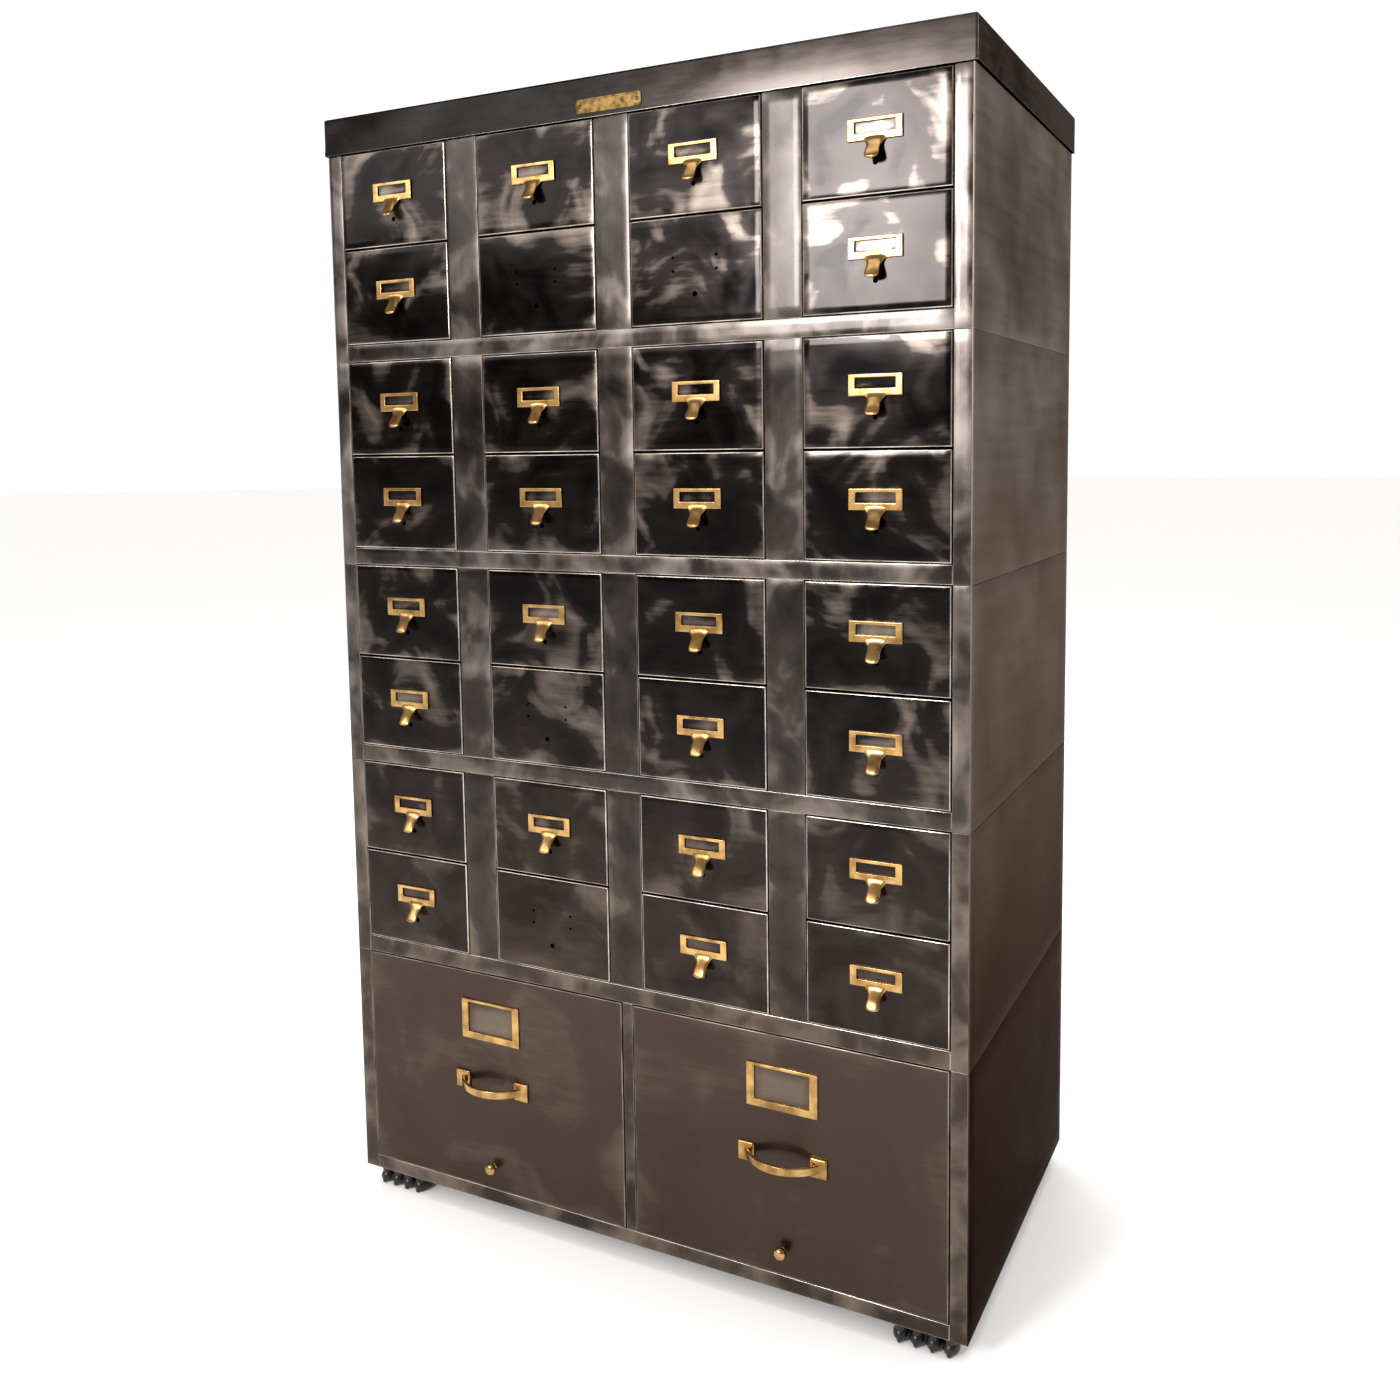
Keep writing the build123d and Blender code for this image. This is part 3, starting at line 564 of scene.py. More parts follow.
# ---- Mesh helpers ----------------------------------------------------------------------------
def facing_place(facing: Facing, across: float, up: float, out: float) -> Place:
    """Map a panel's own width, height and outward direction into the cabinet's frame.

    Args:
        facing: Which way the panel looks.
        across: World coordinate of the panel's zero width.
        up: World coordinate of its zero height (depth for a panel that looks up).
        out: World coordinate of its flat face.

    Returns:
        Function from (width, height, outward) to a point.
    """
    maps: dict[Facing, Place] = {
        Facing.FRONT: lambda u, v, w: Vector((across + u, out - w, up + v)),
        Facing.BACK: lambda u, v, w: Vector((across - u, out + w, up + v)),
        Facing.RIGHT: lambda u, v, w: Vector((out + w, across + u, up + v)),
        Facing.LEFT: lambda u, v, w: Vector((out - w, across - u, up + v)),
        Facing.UP: lambda u, v, w: Vector((across + u, up + v, out + w)),
    }
    return maps[facing]


def axis_stops(length: float, edge: float, cells: int) -> list[tuple[float, float]]:
    """Grid stops along one side of a panel with rounded ends.

    Args:
        length: Length of the side.
        edge: Radius of the rounded edge.
        cells: Number of flat cells between the roundings.

    Returns:
        Pairs of (position from the middle, how far the rounding has dropped).
    """
    turns = 3
    rounding = [
        (edge * (1 - math.cos(t)), edge * (1 - math.sin(t)))
        for t in [math.pi / 2 * i / turns for i in range(turns)]
    ]
    flat = length - 2 * edge
    stops = [(-length / 2 + inset, drop) for inset, drop in rounding]
    stops += [(-flat / 2 + flat * i / cells, 0.0) for i in range(cells + 1)]
    stops += [(length / 2 - inset, drop) for inset, drop in reversed(rounding)]
    return stops


@dataclass
class SheetPanel:
    """A flat panel with rounded edges in a material of their own (a painted edge highlight on
    fronts and frames), and the slight waves of thin sheet.
    """

    width: float
    height: float
    depth: float
    edge: float = 1.0 * MM
    cells: tuple[int, int] = (12, 8)
    wave: float = 0.15 * MM
    wave_size: float = 60 * MM
    seed: float = 0.0
    wear_reach: float = 10 * MM
    # Painted sheen lift of the whole panel towards its pale painted highlight, and the material
    # number of its rounded edges.
    sheen_lift: float = 0.0
    rim: int = 1
    # Pale spot that was covered while the rest was burnished: across, up, half width, half height.
    bare_spot: tuple[float, float, float, float] | None = None
    spot_gain: float = 2.2

    def add_to(self, bm: bmesh.types.BMesh, place: Place) -> None:
        """Add the panel as one closed shell.

        Args:
            bm: Mesh that gets the panel.
            place: Map from the panel's own axes; its middle is at width 0, height 0.
        """
        wear_and_sheen_layer = bm.verts.layers.float.get("wear_and_sheen") or bm.verts.layers.float.new("wear_and_sheen")
        columns = axis_stops(self.width, self.edge, self.cells[0])
        rows = axis_stops(self.height, self.edge, self.cells[1])
        front: list[list[bmesh.types.BMVert]] = []
        for v, drop_v in rows:
            line = []
            for u, drop_u in columns:
                drop = min(self.edge, math.hypot(drop_u, drop_v))
                inside = min(self.width / 2 - abs(u), self.height / 2 - abs(v))
                calm = min(1.0, max(0.0, inside - self.edge) / (8 * MM))
                swell = noise.noise(
                    Vector((u / self.wave_size, v / self.wave_size, 7.3 * self.seed + 1.7))
                )
                vert = bm.verts.new(place(u, v, self.wave * swell * calm - drop))
                # Painted sheen lift of the whole panel, plus the worn edges that fade in from its
                # rim.
                vert[wear_and_sheen_layer] = self.sheen_lift + math.exp(-max(0.0, inside) / self.wear_reach)
                if self.bare_spot is not None:
                    across, up, half_w, half_h = self.bare_spot
                    apart = max(abs(u - across) - half_w, abs(v - up) - half_h, 0.0)
                    vert[wear_and_sheen_layer] += self.spot_gain * max(0.0, 1.0 - apart / (5 * MM))
                line.append(vert)
            front.append(line)
        ring = front[0][:]
        ring += [line[-1] for line in front[1:]]
        ring += list(reversed(front[-1][:-1]))
        ring += [line[0] for line in reversed(front[1:-1])]
        stops = self._ring_stops(columns, rows)
        back = [bm.verts.new(place(u, v, -self.depth)) for u, v in stops]
        bands = 3
        for j in range(len(rows) - 1):
            for i in range(len(columns) - 1):
                face = bm.faces.new(
                    (front[j][i], front[j][i + 1], front[j + 1][i + 1], front[j + 1][i])
                )
                rim = i < bands or j < bands
                rim = rim or i >= len(columns) - 1 - bands or j >= len(rows) - 1 - bands
                face.material_index = self.rim if rim else 0
        count = len(ring)
        for i in range(count):
            after = (i + 1) % count
            bm.faces.new((ring[i], back[i], back[after], ring[after]))
        bm.faces.new(list(reversed(back)))

    @staticmethod
    def _ring_stops(
        columns: list[tuple[float, float]], rows: list[tuple[float, float]]
    ) -> list[tuple[float, float]]:
        """Outline of the panel in the order of its border vertices.

        Args:
            columns: Stops along the width.
            rows: Stops along the height.

        Returns:
            Points (width, height) once round the panel.
        """
        us = [u for u, _ in columns]
        vs = [v for v, _ in rows]
        ring = [(u, vs[0]) for u in us]
        ring += [(us[-1], v) for v in vs[1:]]
        ring += [(u, vs[-1]) for u in reversed(us[:-1])]
        ring += [(us[0], v) for v in reversed(vs[1:-1])]
        return ring


def add_block(
    bm: bmesh.types.BMesh, low: Vector, high: Vector, edge: float, material: int = 0
) -> None:
    """Add a closed block with rounded edges.

    Args:
        bm: Mesh that gets the block.
        low: Lowest corner.
        high: Highest corner.
        edge: Radius of the rounded edges.
        material: Material number of the flats.
    """
    made = bmesh.ops.create_cube(bm, size=1.0)["verts"]
    for vert in made:
        vert.co = Vector(
            [low[k] if vert.co[k] < 0 else high[k] for k in range(3)]
        )
    faces = {face for vert in made for face in vert.link_faces}
    for face in faces:
        face.material_index = material
    if edge > 0:
        edges = list({e for vert in made for e in vert.link_edges})
        bmesh.ops.bevel(
            bm, geom=edges, offset=edge, segments=2, profile=0.5, affect="EDGES", material=material
        )


def add_tray(bm: bmesh.types.BMesh, low: Vector, high: Vector, sheet: float, hem: float) -> None:
    """Add an open-topped tray of bent sheet with a rolled hem along its rim.

    Args:
        bm: Mesh that gets the tray.
        low: Lowest outer corner.
        high: Highest outer corner.
        sheet: Thickness of the sheet.
        hem: Radius of the rolled rim.
    """
    outer = [(low.x, low.y), (high.x, low.y), (high.x, high.y), (low.x, high.y)]
    inner = [
        (low.x + sheet, low.y + sheet),
        (high.x - sheet, low.y + sheet),
        (high.x - sheet, high.y - sheet),
        (low.x + sheet, high.y - sheet),
    ]
    levels = [(outer, low.z), (outer, high.z), (inner, high.z), (inner, low.z + sheet)]
    rings = [[bm.verts.new((x, y, z)) for x, y in ring] for ring, z in levels]
    bm.faces.new(list(reversed(rings[0])))
    for lower, upper in zip(rings, rings[1:]):
        for i in range(4):
            after = (i + 1) % 4
            bm.faces.new((lower[i], lower[after], upper[after], upper[i]))
    bm.faces.new(rings[3])
    for x in (low.x + hem, high.x - hem):
        add_tube(
            bm, Vector((x, low.y, high.z - hem)), Vector((x, high.y, high.z - hem)), hem, 10
        )


def add_tube(
    bm: bmesh.types.BMesh, start: Vector, end: Vector, radius: float, sides: int = 24
) -> None:
    """Add a closed round bar.

    Args:
        bm: Mesh that gets the bar.
        start: Middle of one end.
        end: Middle of the other end.
        radius: Radius of the bar.
        sides: Number of flats round it.
    """
    along = end - start
    turn = along.to_track_quat("Z", "Y").to_matrix().to_4x4()
    bmesh.ops.create_cone(
        bm,
        cap_ends=True,
        segments=sides,
        radius1=radius,
        radius2=radius,
        depth=along.length,
        matrix=Matrix.Translation((start + end) / 2) @ turn,
    )


def add_lathe(
    bm: bmesh.types.BMesh, centre: Vector, profile: Sequence[tuple[float, float]], sides: int = 32
) -> None:
    """Add a turned form about a line that runs towards the viewer of the fronts.

    Args:
        bm: Mesh that gets the form.
        centre: Point on the line where the profile's distance is zero.
        profile: Pairs of (distance out along the line, radius), starting and ending at radius 0.
        sides: Number of steps round the line.
    """
    rings: list[list[bmesh.types.BMVert]] = []
    for out, radius in profile:
        if radius <= 0:
            rings.append([bm.verts.new(centre + Vector((0, -out, 0)))])
            continue
        rings.append(
            [
                bm.verts.new(
                    centre
                    + Vector(
                        (
                            radius * math.cos(2 * math.pi * i / sides),
                            -out,
                            radius * math.sin(2 * math.pi * i / sides),
                        )
                    )
                )
                for i in range(sides)
            ]
        )
    for first, second in zip(rings, rings[1:]):
        for i in range(sides):
            after = (i + 1) % sides
            corners = [first[i % len(first)], first[after % len(first)]]
            corners += [second[after % len(second)], second[i % len(second)]]
            unique = list(dict.fromkeys(corners))
            if len(unique) > 2:
                bm.faces.new(unique)


def add_frame_plate(
    bm: bmesh.types.BMesh,
    place: Place,
    outer: tuple[float, float],
    window: tuple[float, float, float, float],
    thickness: float,
    edge: float,
) -> None:
    """Add a rectangular plate with a window through it and softened edges.

    Args:
        bm: Mesh that gets the plate.
        place: Map from the plate's own axes; its middle is at width 0, height 0.
        outer: Full width and height.
        window: Left, bottom, right and top of the window.
        thickness: Thickness of the plate.
        edge: Radius of the softened edges.
    """
    half_w, half_h = outer[0] / 2, outer[1] / 2
    left, bottom, right, top = window
    outline = [(-half_w, -half_h), (half_w, -half_h), (half_w, half_h), (-half_w, half_h)]
    hole = [(left, bottom), (right, bottom), (right, top), (left, top)]
    layers = []
    for out in (0.0, thickness):
        layers.append([[bm.verts.new(place(u, v, out)) for u, v in r] for r in (outline, hole)])
    soften: list[bmesh.types.BMEdge] = []
    for i in range(4):
        after = (i + 1) % 4
        for (ring, opening), flip in ((layers[0], True), (layers[1], False)):
            face = [ring[i], ring[after], opening[after], opening[i]]
            bm.faces.new(list(reversed(face)) if flip else face)
        for k, flip in ((0, False), (1, True)):
            face = [layers[0][k][i], layers[0][k][after], layers[1][k][after], layers[1][k][i]]
            bm.faces.new(list(reversed(face)) if flip else face)
            soften.append(bm.edges.get((layers[1][k][i], layers[1][k][after])))
        soften.append(bm.edges.get((layers[0][0][i], layers[1][0][i])))
    bmesh.ops.bevel(bm, geom=soften, offset=edge, segments=3, profile=0.5, affect="EDGES")


def settle(obj: Object) -> None:
    """Turn an object's modifiers into its plain mesh."""
    graph = bpy.context.evaluated_depsgraph_get()
    mesh = bpy.data.meshes.new_from_object(obj.evaluated_get(graph), depsgraph=graph)
    obj.modifiers.clear()
    obj.data = mesh


def to_object(
    bm: bmesh.types.BMesh, name: str, materials: Sequence[Material], outwards: bool = True
) -> Object:
    """Turn a working mesh into an object in the scene.

    Args:
        bm: Working mesh, freed here.
        name: Name of the object and its mesh.
        materials: Material slots in order.
        outwards: Whether to recalculate the normals first.

    Returns:
        The new object.
    """
    if outwards:
        bmesh.ops.recalc_face_normals(bm, faces=bm.faces)
    mesh = bpy.data.meshes.new(name)
    bm.to_mesh(mesh)
    bm.free()
    for material in materials:
        mesh.materials.append(material)
    obj = bpy.data.objects.new(name, mesh)
    bpy.context.scene.collection.objects.link(obj)
    return obj


def drill(
    obj: Object, holes: Sequence[tuple[Vector, float]], depth: float, lining: Material
) -> None:
    """Drill round holes through a front along the cabinet's depth.

    Args:
        obj: Piece that gets the holes.
        holes: Pairs of (middle of the hole on the face, radius).
        depth: Half the length of the drill's path.
        lining: Material inside the holes.
    """
    bm = bmesh.new()
    for centre, radius in holes:
        reach = Vector((0, depth, 0))
        add_tube(bm, centre - reach, centre + reach, radius, 18)
    cutter = to_object(bm, f"{obj.name}_drill", [lining])
    cut = obj.modifiers.new("holes", "BOOLEAN")
    cut.operation = "DIFFERENCE"
    cut.solver = "EXACT"
    cut.material_mode = "TRANSFER"
    cut.object = cutter
    settle(obj)
    bpy.data.objects.remove(cutter)


class Workshop:
    """Gives each finished piece its offset and its body, and hides the nodes it stands for."""

    def __init__(self) -> None:
        """Start with a fixed seed."""
        self._draw = random.Random(41)
        self.count = 0

    def next_offset(self) -> Vector:
        """Random offset that gives a piece its own clouds."""
        return Vector([self._draw.uniform(-4.0, 4.0) for _ in range(3)])

    def hand_over(
        self,
        obj: Object,
        body: str,
        replaces: Sequence[str] = (),
        crease: float = 32.0,
    ) -> Object:
        """Finish a piece and let it ride.

        Args:
            obj: The piece, in place.
            body: Body that it moves with.
            replaces: Nodes that it stands for.
            crease: Angle in degrees from which an edge is shaded sharp.

        Returns:
            The same piece.
        """
        mesh = obj.data
        mesh.polygons.foreach_set("use_smooth", [True] * len(mesh.polygons))
        mesh.set_sharp_from_angle(angle=math.radians(crease))
        offset = self.next_offset()
        layer = mesh.attributes.new("burnish_offset", "FLOAT_VECTOR", "POINT")
        layer.data.foreach_set("vector", [*offset] * len(mesh.vertices))
        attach(obj, body)
        if replaces:
            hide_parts(*replaces)
        self.count += 1
        LOG.info("%s rides on %s, %d faces", obj.name, body, len(mesh.polygons))
        return obj


# ---- Geometry Nodes --------------------------------------------------------------------------
class NodeTool:
    """A Geometry Nodes tree with named sizes that ends in plain mesh of one material."""

    def __init__(self, name: str, sizes: dict[str, float], material: Material) -> None:
        """Open the tree and its inputs.

        Args:
            name: Name of the tree.
            sizes: Input names with their values.
            material: Material of all it makes.
        """
        self.tree = bpy.data.node_groups.new(name, "GeometryNodeTree")
        self.tree.interface.new_socket(
            name="Geometry", in_out="OUTPUT", socket_type="NodeSocketGeometry"
        )
        self._sizes = sizes
        self._ids = {}
        for label, value in sizes.items():
            socket = self.tree.interface.new_socket(
                name=label, in_out="INPUT", socket_type="NodeSocketFloat"
            )
            socket.default_value = value
            self._ids[label] = socket.identifier
        self._material = material
        self._entry = self.add("NodeGroupInput")

    def add(
        self, kind: str, inputs: dict[str | int, object] | None = None, **settings: object
    ) -> bpy.types.Node:
        """Add one node to the tree, as add_node does."""
        return add_node(self.tree, kind, inputs, **settings)

    def size(self, label: str) -> bpy.types.NodeSocket:
        """Output socket of a named size."""
        return self._entry.outputs[label]

    def vector(self, x: object, y: object, z: object) -> bpy.types.NodeSocket:
        """Vector from three numbers or sockets."""
        return self.add("ShaderNodeCombineXYZ", {0: x, 1: y, 2: z}).outputs[0]

    def sum(self, first: object, second: object, factor: float = 1.0) -> bpy.types.NodeSocket:
        """First value plus the second times a factor."""
        return self.add(
            "ShaderNodeMath", {0: second, 1: factor, 2: first}, operation="MULTIPLY_ADD"
        ).outputs[0]

    def make(self, name: str, result: bpy.types.NodeSocket) -> Object:
        """Close the tree and turn what it makes into a plain mesh object.

        Args:
            name: Name of the piece.
            result: Geometry to keep.

        Returns:
            The piece, with no modifier left.
        """
        real = self.add("GeometryNodeRealizeInstances", {0: result}).outputs[0]
        dressed = self.add(
            "GeometryNodeSetMaterial", {"Geometry": real, "Material": self._material}
        ).outputs[0]
        self.add("NodeGroupOutput", {0: dressed})
        obj = bpy.data.objects.new(name, bpy.data.meshes.new(name))
        bpy.context.scene.collection.objects.link(obj)
        modifier = obj.modifiers.new("tool", "NODES")
        modifier.node_group = self.tree
        for label, value in self._sizes.items():
            modifier[self._ids[label]] = value
        settle(obj)
        obj.data.name = name
        return obj


def join(name: str, parts: Sequence[Object]) -> Object:
    """Join meshes that share one body into one piece.

    Args:
        name: Name of the joined piece.
        parts: Objects to join; all but the first disappear.

    Returns:
        The joined object.
    """
    first = parts[0]
    with bpy.context.temp_override(
        active_object=first, selected_editable_objects=list(parts), object=first
    ):
        bpy.ops.object.join()
    first.name = name
    first.data.name = name
    return first


# ---- Cabinet body ----------------------------------------------------------------------------
@dataclass
class SectionShell:
    """Side panels, back and floor of one section."""

    node: str
    section: int
    sheet: float = 1.6 * MM
    weld_radius: float = 2.6 * MM
    weld_height: float = 0.25 * MM

    def build(self, shop: Workshop, shelf: FinishShelf) -> Object:
        """Build and place the shell.

        Args:
            shop: Workshop that takes the piece.
            shelf: Finishes.

        Returns:
            The shell.
        """
        low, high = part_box(self.node)
        middle_y, middle_z = (low.y + high.y) / 2, (low.z + high.z) / 2
        bm = bmesh.new()
        side = SheetPanel(
            high.y - low.y,
            high.z - low.z,
            self.sheet,
            edge=0.9 * MM,
            cells=(22, 12),
            wave=0.5 * MM,
            wave_size=150 * MM,
            seed=self.section,
        )
        # The panels wave inwards only, so that they never leave the cabinet's width.
        inset = 0.3 * MM
        side.add_to(bm, facing_place(Facing.RIGHT, middle_y, middle_z, high.x - inset))
        side.seed += 0.5
        side.add_to(bm, facing_place(Facing.LEFT, middle_y, middle_z, low.x + inset))
        back = SheetPanel(
            high.x - low.x - 2 * self.sheet,
            high.z - low.z,
            self.sheet,
            edge=0.9 * MM,
            cells=(28, 10),
            wave=0.5 * MM,
            wave_size=150 * MM,
            seed=self.section + 0.25,
        )
        back.add_to(bm, facing_place(Facing.BACK, 0.0, middle_z, high.y - inset))
        floor = SheetPanel(
            high.x - low.x - 2 * self.sheet,
            high.y - low.y - 2 * self.sheet,
            self.sheet,
            edge=0.5 * MM,
            cells=(8, 6),
        )
        floor.add_to(bm, facing_place(Facing.UP, 0.0, middle_y, low.z + self.sheet + 0.1 * MM))
        panels = to_object(bm, self.node, [shelf.side, shelf.side])
        shell = join(f"shell_{self.section}", [panels, self._welds(low, high, shelf)])
        return shop.hand_over(shell, CABINET_BODY, [self.node])

    def _welds(self, low: Vector, high: Vector, shelf: FinishShelf) -> Object:
        """Spot welds down both edges of the back, where it is joined to the sides.

        Args:
            low: Lowest corner of the shell.
            high: Highest corner of the shell.
            shelf: Finishes.

        Returns:
            The weld spots as one mesh.
        """
        tool = NodeTool(
            f"spot welds {self.section}",
            {
                "Width": high.x - low.x - 24 * MM,
                "Height": high.z - low.z - 40 * MM,
                "Radius": self.weld_radius,
                "Rise": self.weld_height,
                "Back": high.y - 0.55 * MM,
                "Middle": (low.z + high.z) / 2,
            },
            shelf.side,
        )
        grid = tool.add(
            "GeometryNodeMeshGrid",
            {
                "Size X": tool.size("Width"),
                "Size Y": tool.size("Height"),
                "Vertices X": 2,
                "Vertices Y": 6,
            },
        ).outputs[0]
        upright = tool.add(
            "GeometryNodeTransform",
            {
                "Geometry": grid,
                "Translation": tool.vector(0.0, tool.size("Back"), tool.size("Middle")),
                "Rotation": (math.pi / 2, 0.0, 0.0),
            },
        ).outputs[0]
        spot = tool.add(
            "GeometryNodeMeshCylinder",
            {
                "Vertices": 12,
                "Side Segments": 1,
                "Radius": tool.size("Radius"),
                "Depth": tool.size("Rise"),
            },
        ).outputs[0]
        spots = tool.add(
            "GeometryNodeInstanceOnPoints",
            {"Points": upright, "Instance": spot, "Rotation": (math.pi / 2, 0.0, 0.0)},
        ).outputs[0]
        return tool.make(f"welds_{self.section}", spots)


@dataclass
class FaceFrame:
    """Stiles, dividers and bottom rail of one section, each with rounded edges that carry a painted
    highlight.
    """

    node: str
    shell_node: str
    name: str
    columns: int
    rail: float
    divider: float
    stile: float = 21 * MM
    edge: float = 0.7 * MM

    def build(self, shop: Workshop, shelf: FinishShelf) -> Object:
        """Build and place the frame.

        Args:
            shop: Workshop that takes the piece.
            shelf: Finishes.

        Returns:
            The frame.
        """
        low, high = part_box(self.node)
        depth = high.y - low.y
        bm = bmesh.new()
        width = high.x - low.x
        height = high.z - low.z
        stile = self.stile - (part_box(self.shell_node)[1].x - high.x)
        opening = (width - 2 * stile - (self.columns - 1) * self.divider) / self.columns
        upright = height - self.rail
        # Both stiles get a painted sheen lift, the right one more, as it catches more light.
        for side in (-1, 1):
            bar = SheetPanel(
                stile,
                height,
                depth,
                self.edge,
                cells=(3, 20),
                wave=0.1 * MM,
                seed=side * 3.1,
                sheen_lift=1.5 if side > 0 else 1.0,
            )
            middle_x = side * (width - stile) / 2
            bar.add_to(bm, facing_place(Facing.FRONT, middle_x, low.z + height / 2, low.y))
        for k in range(1, self.columns):
            bar = SheetPanel(
                self.divider, upright, depth, self.edge, cells=(5, 18), wave=0.2 * MM, seed=k * 1.9
            )
            middle_x = (k - self.columns / 2) * (opening + self.divider)
            bar.add_to(
                bm,
                facing_place(
                    Facing.FRONT, middle_x, low.z + self.rail + upright / 2, low.y + 0.05 * MM
                ),
            )
        # The rail gets a milder painted sheen lift.
        bar = SheetPanel(
            width - 2 * stile,
            self.rail,
            depth,
            self.edge,
            cells=(44, 3),
            wave=0.15 * MM,
            seed=8.2,
            sheen_lift=0.8,
            rim=2,
        )
        bar.add_to(bm, facing_place(Facing.FRONT, 0.0, low.z + self.rail / 2, low.y))
        # Stiles and dividers take the dim painted edge highlight, the rail the bright one.
        face = to_object(bm, self.name, [shelf.frame, shelf.dim_highlight_edge, shelf.edge])
        return shop.hand_over(face, CABINET_BODY, [self.node])


@dataclass
class TopCap:
    """Shallow folded cap with rounded edges."""

    node: str = "top_cap"
    edge: float = 3 * MM

    def build(self, shop: Workshop, shelf: FinishShelf) -> Object:
        """Build and place the cap.

        Args:
            shop: Workshop that takes the piece.
            shelf: Finishes.

        Returns:
            The cap.
        """
        low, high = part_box(self.node)
        bm = bmesh.new()
        corners = bmesh.ops.create_cube(bm, size=1.0)["verts"]
        for vert in corners:
            vert.co = Vector([low[k] if vert.co[k] < 0 else high[k] for k in range(3)])
        bottom = min(bm.faces, key=lambda f: f.calc_center_median().z)
        rim = bmesh.ops.inset_region(bm, faces=[bottom], thickness=1.6 * MM)
        rim_faces = set(rim["faces"])
        bmesh.ops.translate(bm, verts=list(bottom.verts), vec=(0, 0, 12 * MM))
        top_edges = [
            e
            for e in bm.edges
            if all(v.co.z > high.z - MM for v in e.verts)
            or (
                abs(e.verts[0].co.z - e.verts[1].co.z) > 30 * MM
                and all(f not in rim_faces for f in e.link_faces)
            )
        ]
        bmesh.ops.bevel(
            bm, geom=top_edges, offset=self.edge, segments=4, profile=0.5, affect="EDGES"
        )
        # The cap's lower edge takes the bright painted edge highlight.
        lower = [e for e in bm.edges if all(v.co.z < low.z + 0.1 * MM for v in e.verts)]
        bmesh.ops.bevel(
            bm,
            geom=lower,
            offset=0.5 * MM,
            segments=2,
            profile=0.5,
            affect="EDGES",
            material=1,
        )
        cap = to_object(bm, "cap", [shelf.cap, shelf.edge])
        return shop.hand_over(cap, CABINET_BODY, [self.node])


@dataclass
class Nameplate:
    """Blank brass plate with a raised rim and two slotted screws."""

    node: str = "nameplate"
    rim: float = 1.4 * MM
    corner: float = 4 * MM
    screw_spacing: float = 75 * MM
    screw_radius: float = 2.4 * MM
    screw_height: float = 0.8 * MM
    plate: float = 1.2 * MM

    def build(self, shop: Workshop, shelf: FinishShelf) -> Object:
        """Build and place the plate.

        Args:
            shop: Workshop that takes the piece.
            shelf: Finishes.

        Returns:
            The plate with its screws.
        """
        low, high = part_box(self.node)
        cap_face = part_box("top_cap")[0].y
        middle = Vector((0, cap_face, (low.z + high.z) / 2))
        half_w, half_h = (high.x - low.x) / 2, (high.z - low.z) / 2
        bm = bmesh.new()
        outline = []
        for cx, cz, start in ((1, 1, 0), (-1, 1, 90), (-1, -1, 180), (1, -1, 270)):
            for step in range(7):
                turn = math.radians(start + 15 * step)
                outline.append(
                    (
                        cx * (half_w - self.corner) + self.corner * math.cos(turn),
                        cz * (half_h - self.corner) + self.corner * math.sin(turn),
                    )
                )
        levels = [
            (0.0, 0.0),
            (0.0, self.plate - 0.3 * MM),
            (0.3 * MM, self.plate),
            (self.rim, self.plate),
            (self.rim + 0.3 * MM, self.plate - 0.4 * MM),
        ]
        rings = []
        for inset, out in levels:
            scale_x = (half_w - inset) / half_w
            scale_z = (half_h - inset) / half_h
            rings.append(
                [
                    bm.verts.new(middle + Vector((x * scale_x, -out, z * scale_z)))
                    for x, z in outline
                ]
            )
        bm.faces.new(rings[0])
        for first, second in zip(rings, rings[1:]):
            for i in range(len(outline)):
                after = (i + 1) % len(outline)
                bm.faces.new((first[i], first[after], second[after], second[i]))
        bm.faces.new(list(reversed(rings[-1])))
        plate = to_object(bm, "plate_blank", [shelf.plate])
        piece = join("nameplate_blank", [plate, self._screws(middle, shelf)])
        return shop.hand_over(piece, CABINET_BODY, [self.node])

    def _screws(self, middle: Vector, shelf: FinishShelf) -> Object:
        """Two round-headed screws with a slot.

        Args:
            middle: Middle of the plate on the cap's face.
            shelf: Finishes.

        Returns:
            The screw heads as one mesh.
        """
        tool = NodeTool(
            "plate screws",
            {
                "Spacing": self.screw_spacing,
                "Radius": self.screw_radius,
                "Rise": self.screw_height,
                "Face": middle.y - self.plate + 0.4 * MM,
                "Height": middle.z,
                "Slot": 0.6 * MM,
            },
            shelf.plate,
        )
        start = tool.sum(0.0, tool.size("Spacing"), -0.5)
        pair = tool.add(
            "GeometryNodeMeshLine",
            {
                "Count": 2,
                "Start Location": tool.vector(start, tool.size("Face"), tool.size("Height")),
                "Offset": tool.vector(tool.size("Spacing"), 0.0, 0.0),
            },
        ).outputs[0]
        ball = tool.add(
            "GeometryNodeMeshUVSphere", {"Segments": 20, "Rings": 12, "Radius": 1.0}
        ).outputs[0]
        dome = tool.add(
            "GeometryNodeTransform",
            {
                "Geometry": ball,
                "Scale": tool.vector(
                    tool.size("Radius"), tool.sum(0.4 * MM, tool.size("Rise")), tool.size("Radius")
                ),
            },
        ).outputs[0]
        blade = tool.add(
            "GeometryNodeMeshCube",
            {"Size": tool.vector(0.02, tool.size("Slot"), tool.size("Slot"))},
        ).outputs[0]
        set_blade = tool.add(
            "GeometryNodeTransform",
            {
                "Geometry": blade,
                "Translation": tool.vector(0.0, tool.sum(-0.4 * MM, tool.size("Rise"), -1.0), 0.0),
            },
        ).outputs[0]
        head = tool.add(
            "GeometryNodeMeshBoolean", {"Mesh 1": dome, "Mesh 2": set_blade}, operation="DIFFERENCE"
        ).outputs[0]
        heads = tool.add(
            "GeometryNodeInstanceOnPoints", {"Points": pair, "Instance": head}
        ).outputs[0]
        return tool.make("plate_screws", heads)


